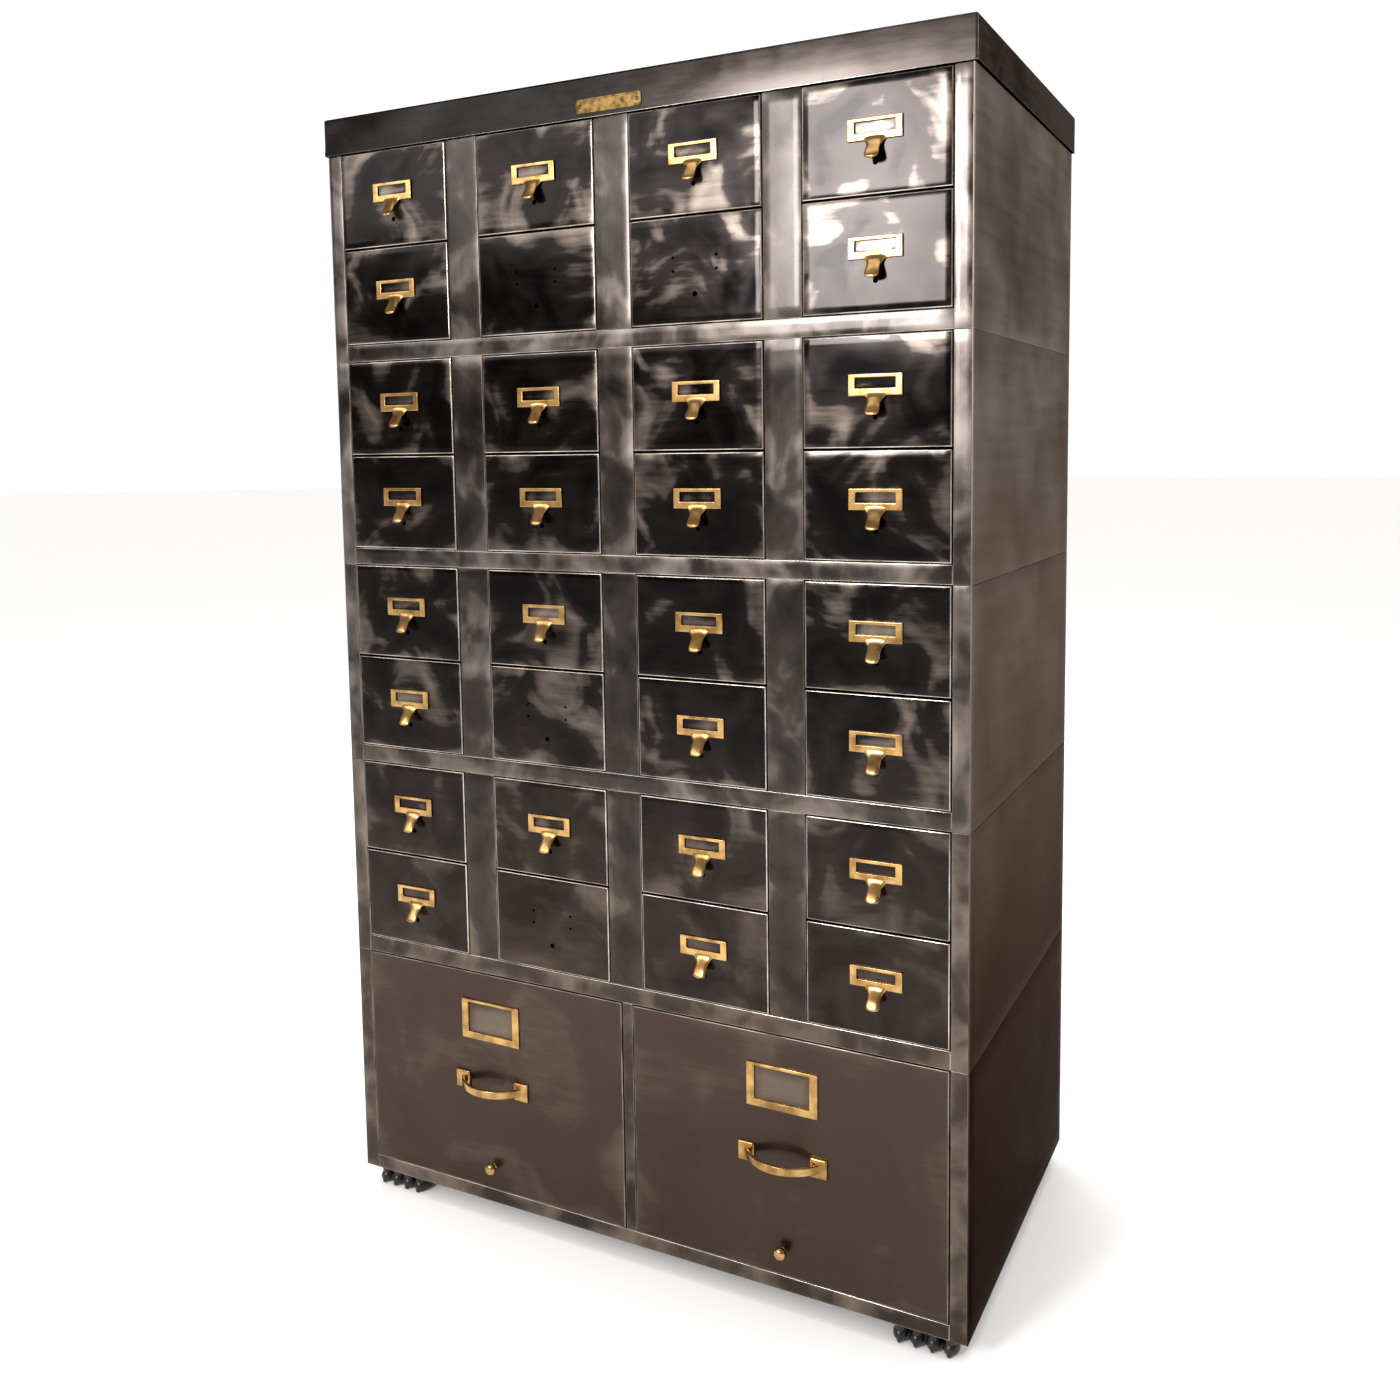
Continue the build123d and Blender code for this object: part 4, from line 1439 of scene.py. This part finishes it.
@dataclass
class PawFoot:
    """Cast paw with four round toes, a pair of knuckles on each and a broad heel."""

    node: str
    faces_front: bool
    toes: int = 4
    toe_radius: float = 9.6 * MM
    voxel: float = 0.9 * MM

    def build(self, shop: Workshop, shelf: FinishShelf) -> Object:
        """Build and place the foot.

        Args:
            shop: Workshop that takes the piece.
            shelf: Finishes.

        Returns:
            The foot.
        """
        low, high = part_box(self.node)
        size = high - low
        forward = -1 if self.faces_front else 1
        front_y = low.y if self.faces_front else high.y
        middle_x = (low.x + high.x) / 2
        bm = bmesh.new()
        pitch = (size.x - 2 * self.toe_radius) / (self.toes - 1)

        def ball(x: float, inward: float, z: float, rx: float, ry: float, rz: float) -> None:
            """Add one stretched ball; inward is measured back from the toes' front."""
            made = bmesh.ops.create_uvsphere(bm, u_segments=28, v_segments=16, radius=1.0)["verts"]
            centre = Vector((middle_x + x, front_y - forward * inward, low.z + z))
            for vert in made:
                vert.co = centre + Vector((vert.co.x * rx, vert.co.y * ry, vert.co.z * rz))

        for toe in range(self.toes):
            x = (toe - (self.toes - 1) / 2) * pitch
            ball(x, 13 * MM, 8.5 * MM, self.toe_radius, 13 * MM, 9.5 * MM)
            ball(x, 14 * MM, 17.5 * MM, 8.0 * MM, 11.5 * MM, 9.0 * MM)
            ball(x, 30 * MM, 10 * MM, 8.8 * MM, 22 * MM, 12 * MM)
            for side in (-1, 1):
                ball(x + side * 3.6 * MM, 7.5 * MM, 20.5 * MM, 3.1 * MM, 4.2 * MM, 3.6 * MM)
            ball(x, 2.8 * MM, 4.2 * MM, 2.4 * MM, 3.4 * MM, 3.8 * MM)
        ball(0, 36 * MM, 16 * MM, 34 * MM, 26 * MM, 16 * MM)
        raw = to_object(bm, self.node + "_cast", [shelf.iron])
        fused = raw.modifiers.new("fuse", "REMESH")
        fused.mode = "VOXEL"
        fused.voxel_size = self.voxel
        relax = raw.modifiers.new("relax", "SMOOTH")
        relax.factor = 0.5
        relax.iterations = 2
        thin = raw.modifiers.new("thin", "DECIMATE")
        thin.ratio = 0.45
        settle(raw)
        for vert in raw.data.vertices:
            vert.co = Vector([min(max(vert.co[k], low[k]), high[k]) for k in range(3)])
        raw.name = self.node.replace("paw_foot", "paw")
        return shop.hand_over(raw, CABINET_BODY, [self.node], crease=60.0)


# ---- Card drawers ----------------------------------------------------------------------------
@dataclass
class CardPull:
    """Cast brass label frame with a finger tongue, made once and copied to each drawer."""

    width: float = 60 * MM
    height: float = 23 * MM
    thickness: float = 2.6 * MM
    window_width: float = 44 * MM
    window_height: float = 11 * MM
    top_bar: float = 4 * MM
    voxel: float = 0.36 * MM
    keep: float = 0.14
    # Stations down the tongue: outward, up from the frame's bottom edge, half width, half depth.
    tongue: tuple[tuple[float, float, float, float], ...] = (
        (1.3, 5.5, 14.5, 1.0),
        (1.7, 1.8, 13.5, 1.5),
        (2.7, -1.6, 10.4, 2.0),
        (4.6, -5.0, 8.3, 2.4),
        (7.2, -8.6, 7.8, 2.5),
        (9.9, -12.2, 8.0, 2.4),
        (12.2, -15.4, 8.0, 2.1),
        (13.9, -18.0, 7.3, 1.8),
        (14.8, -19.6, 5.0, 1.4),
        (15.2, -20.3, 1.4, 0.7),
    )

    def prototype(self, material: Material) -> Object:
        """Cast one pull with its face plane at y 0 and its frame's middle at the origin.

        Args:
            material: Brass finish.

        Returns:
            The pull, not yet in place.
        """
        bm = bmesh.new()
        half_h = self.height / 2
        window_top = half_h - self.top_bar
        flat = facing_place(Facing.FRONT, 0.0, 0.0, 0.0)
        add_frame_plate(
            bm,
            flat,
            (self.width, self.height),
            (
                -self.window_width / 2,
                window_top - self.window_height,
                self.window_width / 2,
                window_top,
            ),
            self.thickness,
            0.7 * MM,
        )
        self._add_tongue(bm, -half_h)
        pull = to_object(bm, "pull_casting", [material])
        fuse = pull.modifiers.new("fuse", "REMESH")
        fuse.mode = "VOXEL"
        fuse.voxel_size = self.voxel
        soften = pull.modifiers.new("soften", "SMOOTH")
        soften.factor = 0.5
        soften.iterations = 3
        thin = pull.modifiers.new("thin", "DECIMATE")
        thin.ratio = self.keep
        settle(pull)
        return pull

    def _add_tongue(self, bm: bmesh.types.BMesh, bottom: float) -> None:
        """Loft the tongue through its stations.

        Args:
            bm: Mesh that gets the tongue.
            bottom: Height of the frame's bottom edge.
        """
        stations = [Vector([value * MM for value in row]) for row in self.tongue]
        fine = smooth_path(stations, 5)
        sides = 20
        rings = []
        for index, row in enumerate(fine):
            before = fine[max(index - 1, 0)]
            after = fine[min(index + 1, len(fine) - 1)]
            run = Vector((0.0, -(after[0] - before[0]), after[1] - before[1])).normalized()
            normal = Vector((1.0, 0.0, 0.0)).cross(run).normalized()
            centre = Vector((0.0, -row[0], bottom + row[1]))
            ring = []
            for k in range(sides):
                turn = 2 * math.pi * k / sides
                across = math.copysign(abs(math.cos(turn)) ** 0.75, math.cos(turn))
                deep = math.copysign(abs(math.sin(turn)) ** 0.8, math.sin(turn))
                ring.append(
                    bm.verts.new(
                        centre + Vector((row[2] * across, 0.0, 0.0)) + normal * (row[3] * deep)
                    )
                )
            rings.append(ring)
        bm.faces.new(rings[0])
        bm.faces.new(list(reversed(rings[-1])))
        for first, second in zip(rings, rings[1:]):
            for k in range(sides):
                after = (k + 1) % sides
                bm.faces.new((first[k], second[k], second[after], first[after]))


def smooth_path(stations: Sequence[Vector], steps: int) -> list[Vector]:
    """Catmull-Rom curve through stations of any dimension.

    Args:
        stations: Points to pass through.
        steps: Steps between neighbours.

    Returns:
        Points along the curve, ends included.
    """
    padded = [stations[0], *stations, stations[-1]]
    path = []
    for a, b, c, d in zip(padded, padded[1:], padded[2:], padded[3:]):
        for step in range(steps):
            t = step / steps
            path.append(
                0.5
                * (2 * b + (c - a) * t + (2 * a - 5 * b + 4 * c - d) * t**2
                   + (3 * b - a - 3 * c + d) * t**3)
            )
    path.append(stations[-1])
    return path


@dataclass
class CardDrawer:
    """One card drawer: burnished front, tray with follower plate, and its pull."""

    section: int
    row: int
    column: int
    front_depth: float = 12 * MM
    proud: float = 1 * MM
    gap: float = 1.2 * MM
    tray_width: float = 140 * MM
    tray_wall: float = 88 * MM
    tray_lift: float = 9 * MM
    sheet: float = 1.2 * MM
    pull_rise: float = 7 * MM
    stud_spacing: tuple[float, float] = (54 * MM, 15 * MM)
    stud_hole: float = 1.75 * MM
    rod_hole: float = 3 * MM
    rod_rise: float = 32 * MM
    follower: tuple[float, float, float] = (120 * MM, 45 * MM, 70 * MM)

    @property
    def node(self) -> str:
        """Name of the drawer's node and body."""
        return f"card_drawer_s{self.section}_r{self.row}_c{self.column}"

    @property
    def has_pull(self) -> bool:
        """Whether the pull is still on the drawer."""
        return (self.section, self.row, self.column) not in BARE_DRAWERS

    def build(self, shop: Workshop, shelf: FinishShelf, pull: Object) -> None:
        """Build and place the drawer's pieces.

        Args:
            shop: Workshop that takes the pieces.
            shelf: Finishes.
            pull: The cast pull to copy.
        """
        low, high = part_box(self.node)
        face_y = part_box("card_face_frame_1")[0].y - self.proud
        tag = f"s{self.section}_r{self.row}_c{self.column}"
        middle_x = (low.x + high.x) / 2
        middle_z = (low.z + high.z) / 2
        pull_z = middle_z + self.pull_rise
        # The upper fronts are the most beaten; lower down and at the right the sheet lies flatter.
        liveliness = {1: 0.5, 2: 0.5, 3: 0.3, 4: 0.15}[self.section]
        if self.column == COLUMNS:
            liveliness *= 0.35
        bm = bmesh.new()
        panel = SheetPanel(
            high.x - low.x,
            high.z - low.z,
            self.front_depth,
            edge=1.2 * MM,
            cells=(22, 16),
            wave=liveliness * MM,
            wave_size=46 * MM,
            seed=self.section * 5.3 + self.row * 2.1 + self.column,
            wear_reach=9 * MM,
            bare_spot=(0.0, self.pull_rise + 2 * MM, 20 * MM, 3 * MM) if self.has_pull else None,
        )
        panel.add_to(bm, facing_place(Facing.FRONT, middle_x, middle_z, face_y))
        # The front's rounded rims take the bright painted edge highlight.
        front = to_object(bm, f"front_{tag}", [shelf.drawer, shelf.edge])
        holes = [(Vector((middle_x, face_y, low.z + self.rod_rise)), self.rod_hole)]
        if not self.has_pull:
            for sx in (-0.5, 0.5):
                for sz in (-0.5, 0.5):
                    spot = Vector(
                        (
                            middle_x + sx * self.stud_spacing[0],
                            face_y,
                            pull_z + sz * self.stud_spacing[1],
                        )
                    )
                    holes.append((spot, self.stud_hole))
        drill(front, holes, 30 * MM, shelf.hole)
        shop.hand_over(front, self.node, [self.node])
        self._tray(shop, shelf, tag, middle_x, low.z - self.gap, face_y + self.front_depth, high.y)
        if self.has_pull:
            piece = pull.copy()
            piece.data = pull.data.copy()
            piece.name = f"pull_{tag}"
            bpy.context.scene.collection.objects.link(piece)
            piece.data.transform(Matrix.Translation((middle_x, face_y + 0.15 * MM, pull_z)))
            shop.hand_over(piece, self.node, crease=50.0)

    def _tray(
        self,
        shop: Workshop,
        shelf: FinishShelf,
        tag: str,
        middle_x: float,
        opening_bottom: float,
        start_y: float,
        end_y: float,
    ) -> None:
        """Build the tray and its follower plate.

        Args:
            shop: Workshop that takes the piece.
            shelf: Finishes.
            tag: Drawer's part of the piece name.
            middle_x: Middle of the drawer.
            opening_bottom: Bottom of its opening.
            start_y: Back of the front.
            end_y: Back of the tray.
        """
        bm = bmesh.new()
        half = self.tray_width / 2
        bottom = opening_bottom + self.tray_lift
        add_tray(
            bm,
            Vector((middle_x - half, start_y + 0.02 * MM, bottom)),
            Vector((middle_x + half, end_y, bottom + self.tray_wall)),
            self.sheet,
            1.1 * MM,
        )
        wide, foot, tall = self.follower
        back_y = end_y - self.sheet - 4 * MM - foot
        floor_z = bottom + self.sheet + 0.05 * MM
        add_block(
            bm,
            Vector((middle_x - wide / 2, back_y, floor_z)),
            Vector((middle_x + wide / 2, back_y + 1.6 * MM, floor_z + tall)),
            0.4 * MM,
        )
        add_block(
            bm,
            Vector((middle_x - wide / 2, back_y + 1.6 * MM, floor_z)),
            Vector((middle_x + wide / 2, back_y + foot, floor_z + 1.6 * MM)),
            0.4 * MM,
        )
        tray = to_object(bm, f"tray_{tag}", [shelf.tray])
        shop.hand_over(tray, self.node)


# ---- File drawers ----------------------------------------------------------------------------
@dataclass
class FileDrawer:
    """One file drawer with its label frame, bow handle, index rod and folder follower."""

    side: str
    front_depth: float = 12 * MM
    proud: float = 1 * MM
    gap: float = 1.2 * MM
    tray_width: float = 322 * MM
    tray_wall: float = 236 * MM
    tray_lift: float = 10 * MM
    sheet: float = 1.2 * MM
    label_bars: tuple[float, float, float] = (10 * MM, 9 * MM, 4 * MM)
    label_thickness: float = 2.4 * MM
    handle_centres: float = 90 * MM
    handle_reach: float = 28 * MM
    pad: tuple[float, float, float] = (21 * MM, 24 * MM, 4 * MM)
    strap: tuple[float, float] = (4 * MM, 10 * MM)
    rod_radius: float = 3.2 * MM
    plate_sheet: float = 2 * MM
    plate_notch: float = 16 * MM

    @property
    def face_y(self) -> float:
        """Plane of the closed front."""
        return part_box("base_face_frame")[0].y - self.proud

    def build(self, shop: Workshop, shelf: FinishShelf) -> None:
        """Build and place the drawer's pieces.

        Args:
            shop: Workshop that takes the pieces.
            shelf: Finishes.
        """
        node = f"file_drawer_{self.side}"
        low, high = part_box(node)
        rod_low, rod_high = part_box(f"index_rod_{self.side}")
        rod_line = Vector(((rod_low.x + rod_high.x) / 2, self.face_y, (rod_low.z + rod_high.z) / 2))
        middle_x = (low.x + high.x) / 2
        bm = bmesh.new()
        panel = SheetPanel(
            high.x - low.x,
            high.z - low.z,
            self.front_depth,
            edge=1.2 * MM,
            cells=(36, 28),
            wave=0.25 * MM,
            wave_size=110 * MM,
            seed=3.0 + (self.side == "left"),
            wear_reach=14 * MM,
            bare_spot=self._label_spot((low + high) / 2),
            spot_gain=4.0,
        )
        place = facing_place(Facing.FRONT, middle_x, (low.z + high.z) / 2, self.face_y)
        panel.add_to(bm, place)
        front = to_object(bm, f"file_front_{self.side}", [shelf.file_front, shelf.dim_highlight_edge])
        drill(front, [(rod_line, self.rod_radius + 0.5 * MM)], 30 * MM, shelf.hole)
        shop.hand_over(front, node, [node])
        bm = bmesh.new()
        half = self.tray_width / 2
        bottom = low.z - self.gap + self.tray_lift
        add_tray(
            bm,
            Vector((middle_x - half, self.face_y + self.front_depth + 0.02 * MM, bottom)),
            Vector((middle_x + half, high.y, bottom + self.tray_wall)),
            self.sheet,
            1.4 * MM,
        )
        tray = to_object(bm, f"file_tray_{self.side}", [shelf.tray])
        shop.hand_over(tray, node)
        self._label(shop, shelf)
        self._handle(shop, shelf)
        self._rod(shop, shelf, rod_line, rod_high.y)
        self._follower(shop, shelf)

    def _label_spot(self, middle: Vector) -> tuple[float, float, float, float]:
        """Spot behind the label frame's window, measured from the middle of the front.

        Args:
            middle: Middle of the front.

        Returns:
            The spot's middle across and up, and its half width and half height.
        """
        low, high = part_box(f"file_label_frame_{self.side}")
        centre = (low + high) / 2 - middle
        return centre.x, centre.z, (high.x - low.x) / 2 - 14 * MM, (high.z - low.z) / 2 - 9 * MM

    def _label(self, shop: Workshop, shelf: FinishShelf) -> None:
        """Build the label frame, a plate with its window.

        Args:
            shop: Workshop that takes the pieces.
            shelf: Finishes.
        """
        node = f"file_label_frame_{self.side}"
        low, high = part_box(node)
        side_bar, bottom_bar, top_bar = self.label_bars
        width, height = high.x - low.x, high.z - low.z
        middle_x, middle_z = (low.x + high.x) / 2, (low.z + high.z) / 2
        bm = bmesh.new()
        add_frame_plate(
            bm,
            facing_place(Facing.FRONT, middle_x, middle_z, self.face_y + 0.1 * MM),
            (width, height),
            (
                side_bar - width / 2,
                bottom_bar - height / 2,
                width / 2 - side_bar,
                height / 2 - top_bar,
            ),
            self.label_thickness,
            0.8 * MM,
        )
        label = to_object(bm, f"label_frame_{self.side}", [shelf.brass])
        shop.hand_over(label, f"file_drawer_{self.side}", [node])

    def _handle(self, shop: Workshop, shelf: FinishShelf) -> None:
        """Build the bow handle: two cushioned pads and a strap that follows an arc.

        Args:
            shop: Workshop that takes the pieces.
            shelf: Finishes.
        """
        node = f"bow_handle_{self.side}"
        low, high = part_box(node)
        middle_x, middle_z = (low.x + high.x) / 2, (low.z + high.z) / 2
        thick, tall = self.strap
        tool = NodeTool(
            f"bow strap {self.side}",
            {
                "Half Span": self.handle_centres / 2,
                "Reach": self.handle_reach - thick / 2,
                "Thickness": thick,
                "Height": tall,
                "Corner": 1.3 * MM,
                "Across": middle_x,
                "Face": self.face_y,
                "Rise": middle_z,
            },
            shelf.brass,
        )
        root = tool.sum(tool.size("Face"), -2.0 * MM)
        arc = tool.add(
            "GeometryNodeCurveArc",
            {
                "Resolution": 40,
                "Start": tool.vector(
                    tool.sum(tool.size("Across"), tool.size("Half Span"), -1.0),
                    root,
                    tool.size("Rise"),
                ),
                "Middle": tool.vector(
                    tool.size("Across"),
                    tool.sum(tool.size("Face"), tool.size("Reach"), -1.0),
                    tool.size("Rise"),
                ),
                "End": tool.vector(
                    tool.sum(tool.size("Across"), tool.size("Half Span")),
                    root,
                    tool.size("Rise"),
                ),
            },
            mode="POINTS",
        ).outputs[0]
        steady = tool.add("GeometryNodeSetCurveNormal", {"Curve": arc}, mode="Z_UP").outputs[0]
        flat = tool.add(
            "GeometryNodeCurvePrimitiveQuadrilateral",
            {"Width": tool.size("Thickness"), "Height": tool.size("Height")},
        ).outputs[0]
        section = tool.add(
            "GeometryNodeFilletCurve",
            {"Curve": flat, "Radius": tool.size("Corner"), "Count": 3},
            mode="POLY",
        ).outputs[0]
        strap = tool.add(
            "GeometryNodeCurveToMesh",
            {"Curve": steady, "Profile Curve": section, "Fill Caps": True},
        ).outputs[0]
        bow = tool.make(f"strap_{self.side}", strap)
        bm = bmesh.new()
        pad_w, pad_h, pad_t = self.pad
        for side in (-1, 1):
            pad = SheetPanel(
                pad_w, pad_h, pad_t, edge=2.6 * MM, cells=(10, 10), wave=0.0, wear_reach=MM
            )
            centre_x = middle_x + side * self.handle_centres / 2
            pad.add_to(
                bm, facing_place(Facing.FRONT, centre_x, middle_z, self.face_y - pad_t)
            )
        for face in bm.faces:
            face.material_index = 0
        pads = to_object(bm, f"pads_{self.side}", [shelf.brass])
        handle = join(f"bow_{self.side}", [pads, bow])
        shop.hand_over(handle, f"file_drawer_{self.side}", [node], crease=45.0)

    def _rod(self, shop: Workshop, shelf: FinishShelf, line: Vector, end_y: float) -> None:
        """Build the index rod with its turned knob.

        Args:
            shop: Workshop that takes the pieces.
            shelf: Finishes.
            line: Middle of the rod on the plane of the front.
            end_y: Back end of the rod.
        """
        node = f"index_rod_{self.side}"
        back = -(end_y - self.face_y)
        profile = [
            (back, 0.0),
            (back, 2.6),
            (back + 0.6 * MM, 3.2),
            (0.2, 3.2),
            (0.6, 4.2),
            (2.2, 4.6),
            (3.6, 4.0),
            (4.2, 3.2),
            (5.0, 3.4),
            (6.2, 5.8),
            (8.0, 7.2),
            (10.2, 7.5),
            (12.4, 6.9),
            (14.0, 5.4),
            (15.0, 3.2),
            (15.4, 0.0),
        ]
        scaled = []
        for out, radius in profile:
            scaled.append((out if out < 0 else out * MM, radius * MM))
        bm = bmesh.new()
        add_lathe(bm, line, scaled)
        rod = to_object(bm, f"rod_{self.side}", [shelf.brass])
        shop.hand_over(rod, node, [node], crease=40.0)

    def _follower(self, shop: Workshop, shelf: FinishShelf) -> None:
        """Build the bent plate that holds the folders up, open over the rod.

        Args:
            shop: Workshop that takes the pieces.
            shelf: Finishes.
        """
        node = f"folder_follower_{self.side}"
        low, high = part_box(node)
        middle_x = (low.x + high.x) / 2
        notch_top = low.z + 38 * MM
        bm = bmesh.new()
        for side in (-1, 1):
            outer = low.x if side < 0 else high.x
            near, far = sorted((middle_x + side * self.plate_notch / 2, outer))
            add_block(
                bm,
                Vector((near, low.y, low.z)),
                Vector((far, low.y + self.plate_sheet, notch_top)),
                0.0,
            )
            add_block(
                bm,
                Vector((near, low.y + self.plate_sheet, low.z)),
                Vector((far, high.y, low.z + self.plate_sheet)),
                0.5 * MM,
            )
        add_block(
            bm,
            Vector((low.x, low.y, notch_top)),
            Vector((high.x, low.y + self.plate_sheet, high.z)),
            0.5 * MM,
        )
        plate = to_object(bm, f"follower_{self.side}", [shelf.tray])
        shop.hand_over(plate, node, [node])


# ---- Studio ----------------------------------------------------------------------------------
@dataclass(frozen=True)
class Softbox:
    """Rectangular area lamp: where it hangs, what it is aimed at, its size and its watts."""

    name: str
    place: tuple[float, float, float]
    aim: tuple[float, float, float]
    width: float
    height: float
    power: float

    def hang(self) -> None:
        """Add the lamp to the scene."""
        lamp = bpy.data.lights.new(self.name, "AREA")
        lamp.shape = "RECTANGLE"
        lamp.size, lamp.size_y, lamp.energy = self.width, self.height, self.power
        obj = bpy.data.objects.new(self.name, lamp)
        obj.location = self.place
        aim = Vector(self.aim) - Vector(self.place)
        obj.rotation_euler = aim.to_track_quat("-Z", "Y").to_euler()
        bpy.context.scene.collection.objects.link(obj)


@dataclass
class Studio:
    """Plain pale floor, soft light and the camera."""

    camera_place: tuple[float, float, float] = (0.7734, -1.5229, 0.9937)
    azimuth: float = 27.147
    tilt: float = -5.317
    roll: float = -0.785
    lens: float = 33.43
    shift_y: float = -0.092
    lights: tuple[Softbox, ...] = (
        Softbox("key softbox", (-2.4, -3.2, 2.6), (0.0, 0.0, 0.8), 2.0, 1.6, 34.0),
        Softbox("strip softbox", (-0.68, -3.0, 1.8), (0.3, 0.0, 1.25), 0.55, 0.8, 62.0),
        Softbox("side softbox", (3.4, 0.6, 2.2), (0.3, 0.0, 1.1), 1.8, 1.4, 25.0),
        Softbox("top softbox", (0.0, 0.4, 3.6), (0.0, 0.0, 0.0), 3.0, 3.0, 40.0),
        Softbox("rear softbox", (-1.5, 3.6, 2.4), (0.0, 0.0, 0.8), 2.4, 2.0, 45.0),
    )

    def build(self) -> None:
        """Set up floor, world, lights, camera and colour management."""
        self._floor()
        self._world()
        for light in self.lights:
            light.hang()
        self._camera()
        bpy.context.scene.view_settings.view_transform = "Standard"

    def _floor(self) -> None:
        """Pale seamless floor."""
        bm = bmesh.new()
        bmesh.ops.create_circle(bm, cap_ends=True, segments=96, radius=40.0)
        material, tree, output = new_material("pale matt studio floor")
        shader = add_node(
            tree,
            "ShaderNodeBsdfPrincipled",
            {"Base Color": linear("#f6f5f3"), "Roughness": 0.9},
        )
        tree.links.new(shader.outputs[0], output.inputs["Surface"])
        floor = to_object(bm, "studio_floor", [material], outwards=False)

    def _world(self) -> None:
        """White room that lights the matt surfaces, seen dimmer and warmer in the polished ones."""
        world = bpy.data.worlds.new("studio")
        world.use_nodes = True
        tree = world.node_tree
        tree.nodes.clear()
        mirrored = add_node(tree, "ShaderNodeLightPath").outputs["Is Glossy Ray"]
        room = add_node(
            tree, "ShaderNodeBackground", {"Color": linear("#ded4d0"), "Strength": 0.45}
        ).outputs[0]
        paper = add_node(
            tree, "ShaderNodeBackground", {"Color": (1.0, 1.0, 1.0, 1.0), "Strength": 1.12}
        ).outputs[0]
        mixed = add_node(tree, "ShaderNodeMixShader", {0: mirrored, 1: paper, 2: room}).outputs[0]
        add_node(tree, "ShaderNodeOutputWorld", {"Surface": mixed})
        bpy.context.scene.world = world

    def _camera(self) -> None:
        """Camera a little right of the cabinet's middle, looking slightly down."""
        lens = bpy.data.cameras.new("studio_camera")
        lens.lens = self.lens
        lens.sensor_width = 36.0
        lens.shift_y = self.shift_y
        lens.clip_start, lens.clip_end = 0.05, 100.0
        camera = bpy.data.objects.new("studio_camera", lens)
        bpy.context.scene.collection.objects.link(camera)
        turn, tilt = math.radians(self.azimuth), math.radians(self.tilt)
        forward = Vector(
            (-math.sin(turn) * math.cos(tilt), math.cos(turn) * math.cos(tilt), math.sin(tilt))
        )
        level = Vector((math.cos(turn), math.sin(turn), 0.0))
        right = Matrix.Rotation(math.radians(-self.roll), 3, forward) @ level
        up = right.cross(forward)
        turned = Matrix((right, up, -forward)).transposed().to_4x4()
        camera.matrix_world = Matrix.Translation(self.camera_place) @ turned
        bpy.context.scene.camera = camera


def main() -> None:
    """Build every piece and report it."""
    logging.basicConfig(level=logging.INFO, format="%(name)s: %(message)s")
    Studio().build()
    shelf = FinishShelf()
    shop = Workshop()
    TopCap().build(shop, shelf)
    Nameplate().build(shop, shelf)
    for section in range(1, SECTIONS + 1):
        shell = f"card_section_shell_{section}"
        SectionShell(shell, section).build(shop, shelf)
        FaceFrame(
            f"card_face_frame_{section}", shell, f"frame_{section}", COLUMNS, 21 * MM, 45 * MM
        ).build(shop, shelf)
    SectionShell("base_section_shell", SECTIONS + 1).build(shop, shelf)
    FaceFrame(
        "base_face_frame", "base_section_shell", "frame_base", 2, 18 * MM, 14 * MM
    ).build(shop, shelf)
    for end in ("front", "back"):
        for side in ("left", "right"):
            PawFoot(f"paw_foot_{end}_{side}", end == "front").build(shop, shelf)
    pull = CardPull().prototype(shelf.brass)
    for section in range(1, SECTIONS + 1):
        for row in range(1, ROWS + 1):
            for column in range(1, COLUMNS + 1):
                CardDrawer(section, row, column).build(shop, shelf, pull)
    bpy.data.objects.remove(pull)
    for side in ("left", "right"):
        FileDrawer(side).build(shop, shelf)
    for node in ("card_drawer_runners", "file_drawer_runners"):
        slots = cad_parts[node].material_slots
        for slot in slots:
            slot.material = shelf.tray
        LOG.info("%s keeps its shape in %s", node, shelf.tray.name)
    LOG.info("%d pieces", shop.count)


if __name__ == "__main__":
    main()
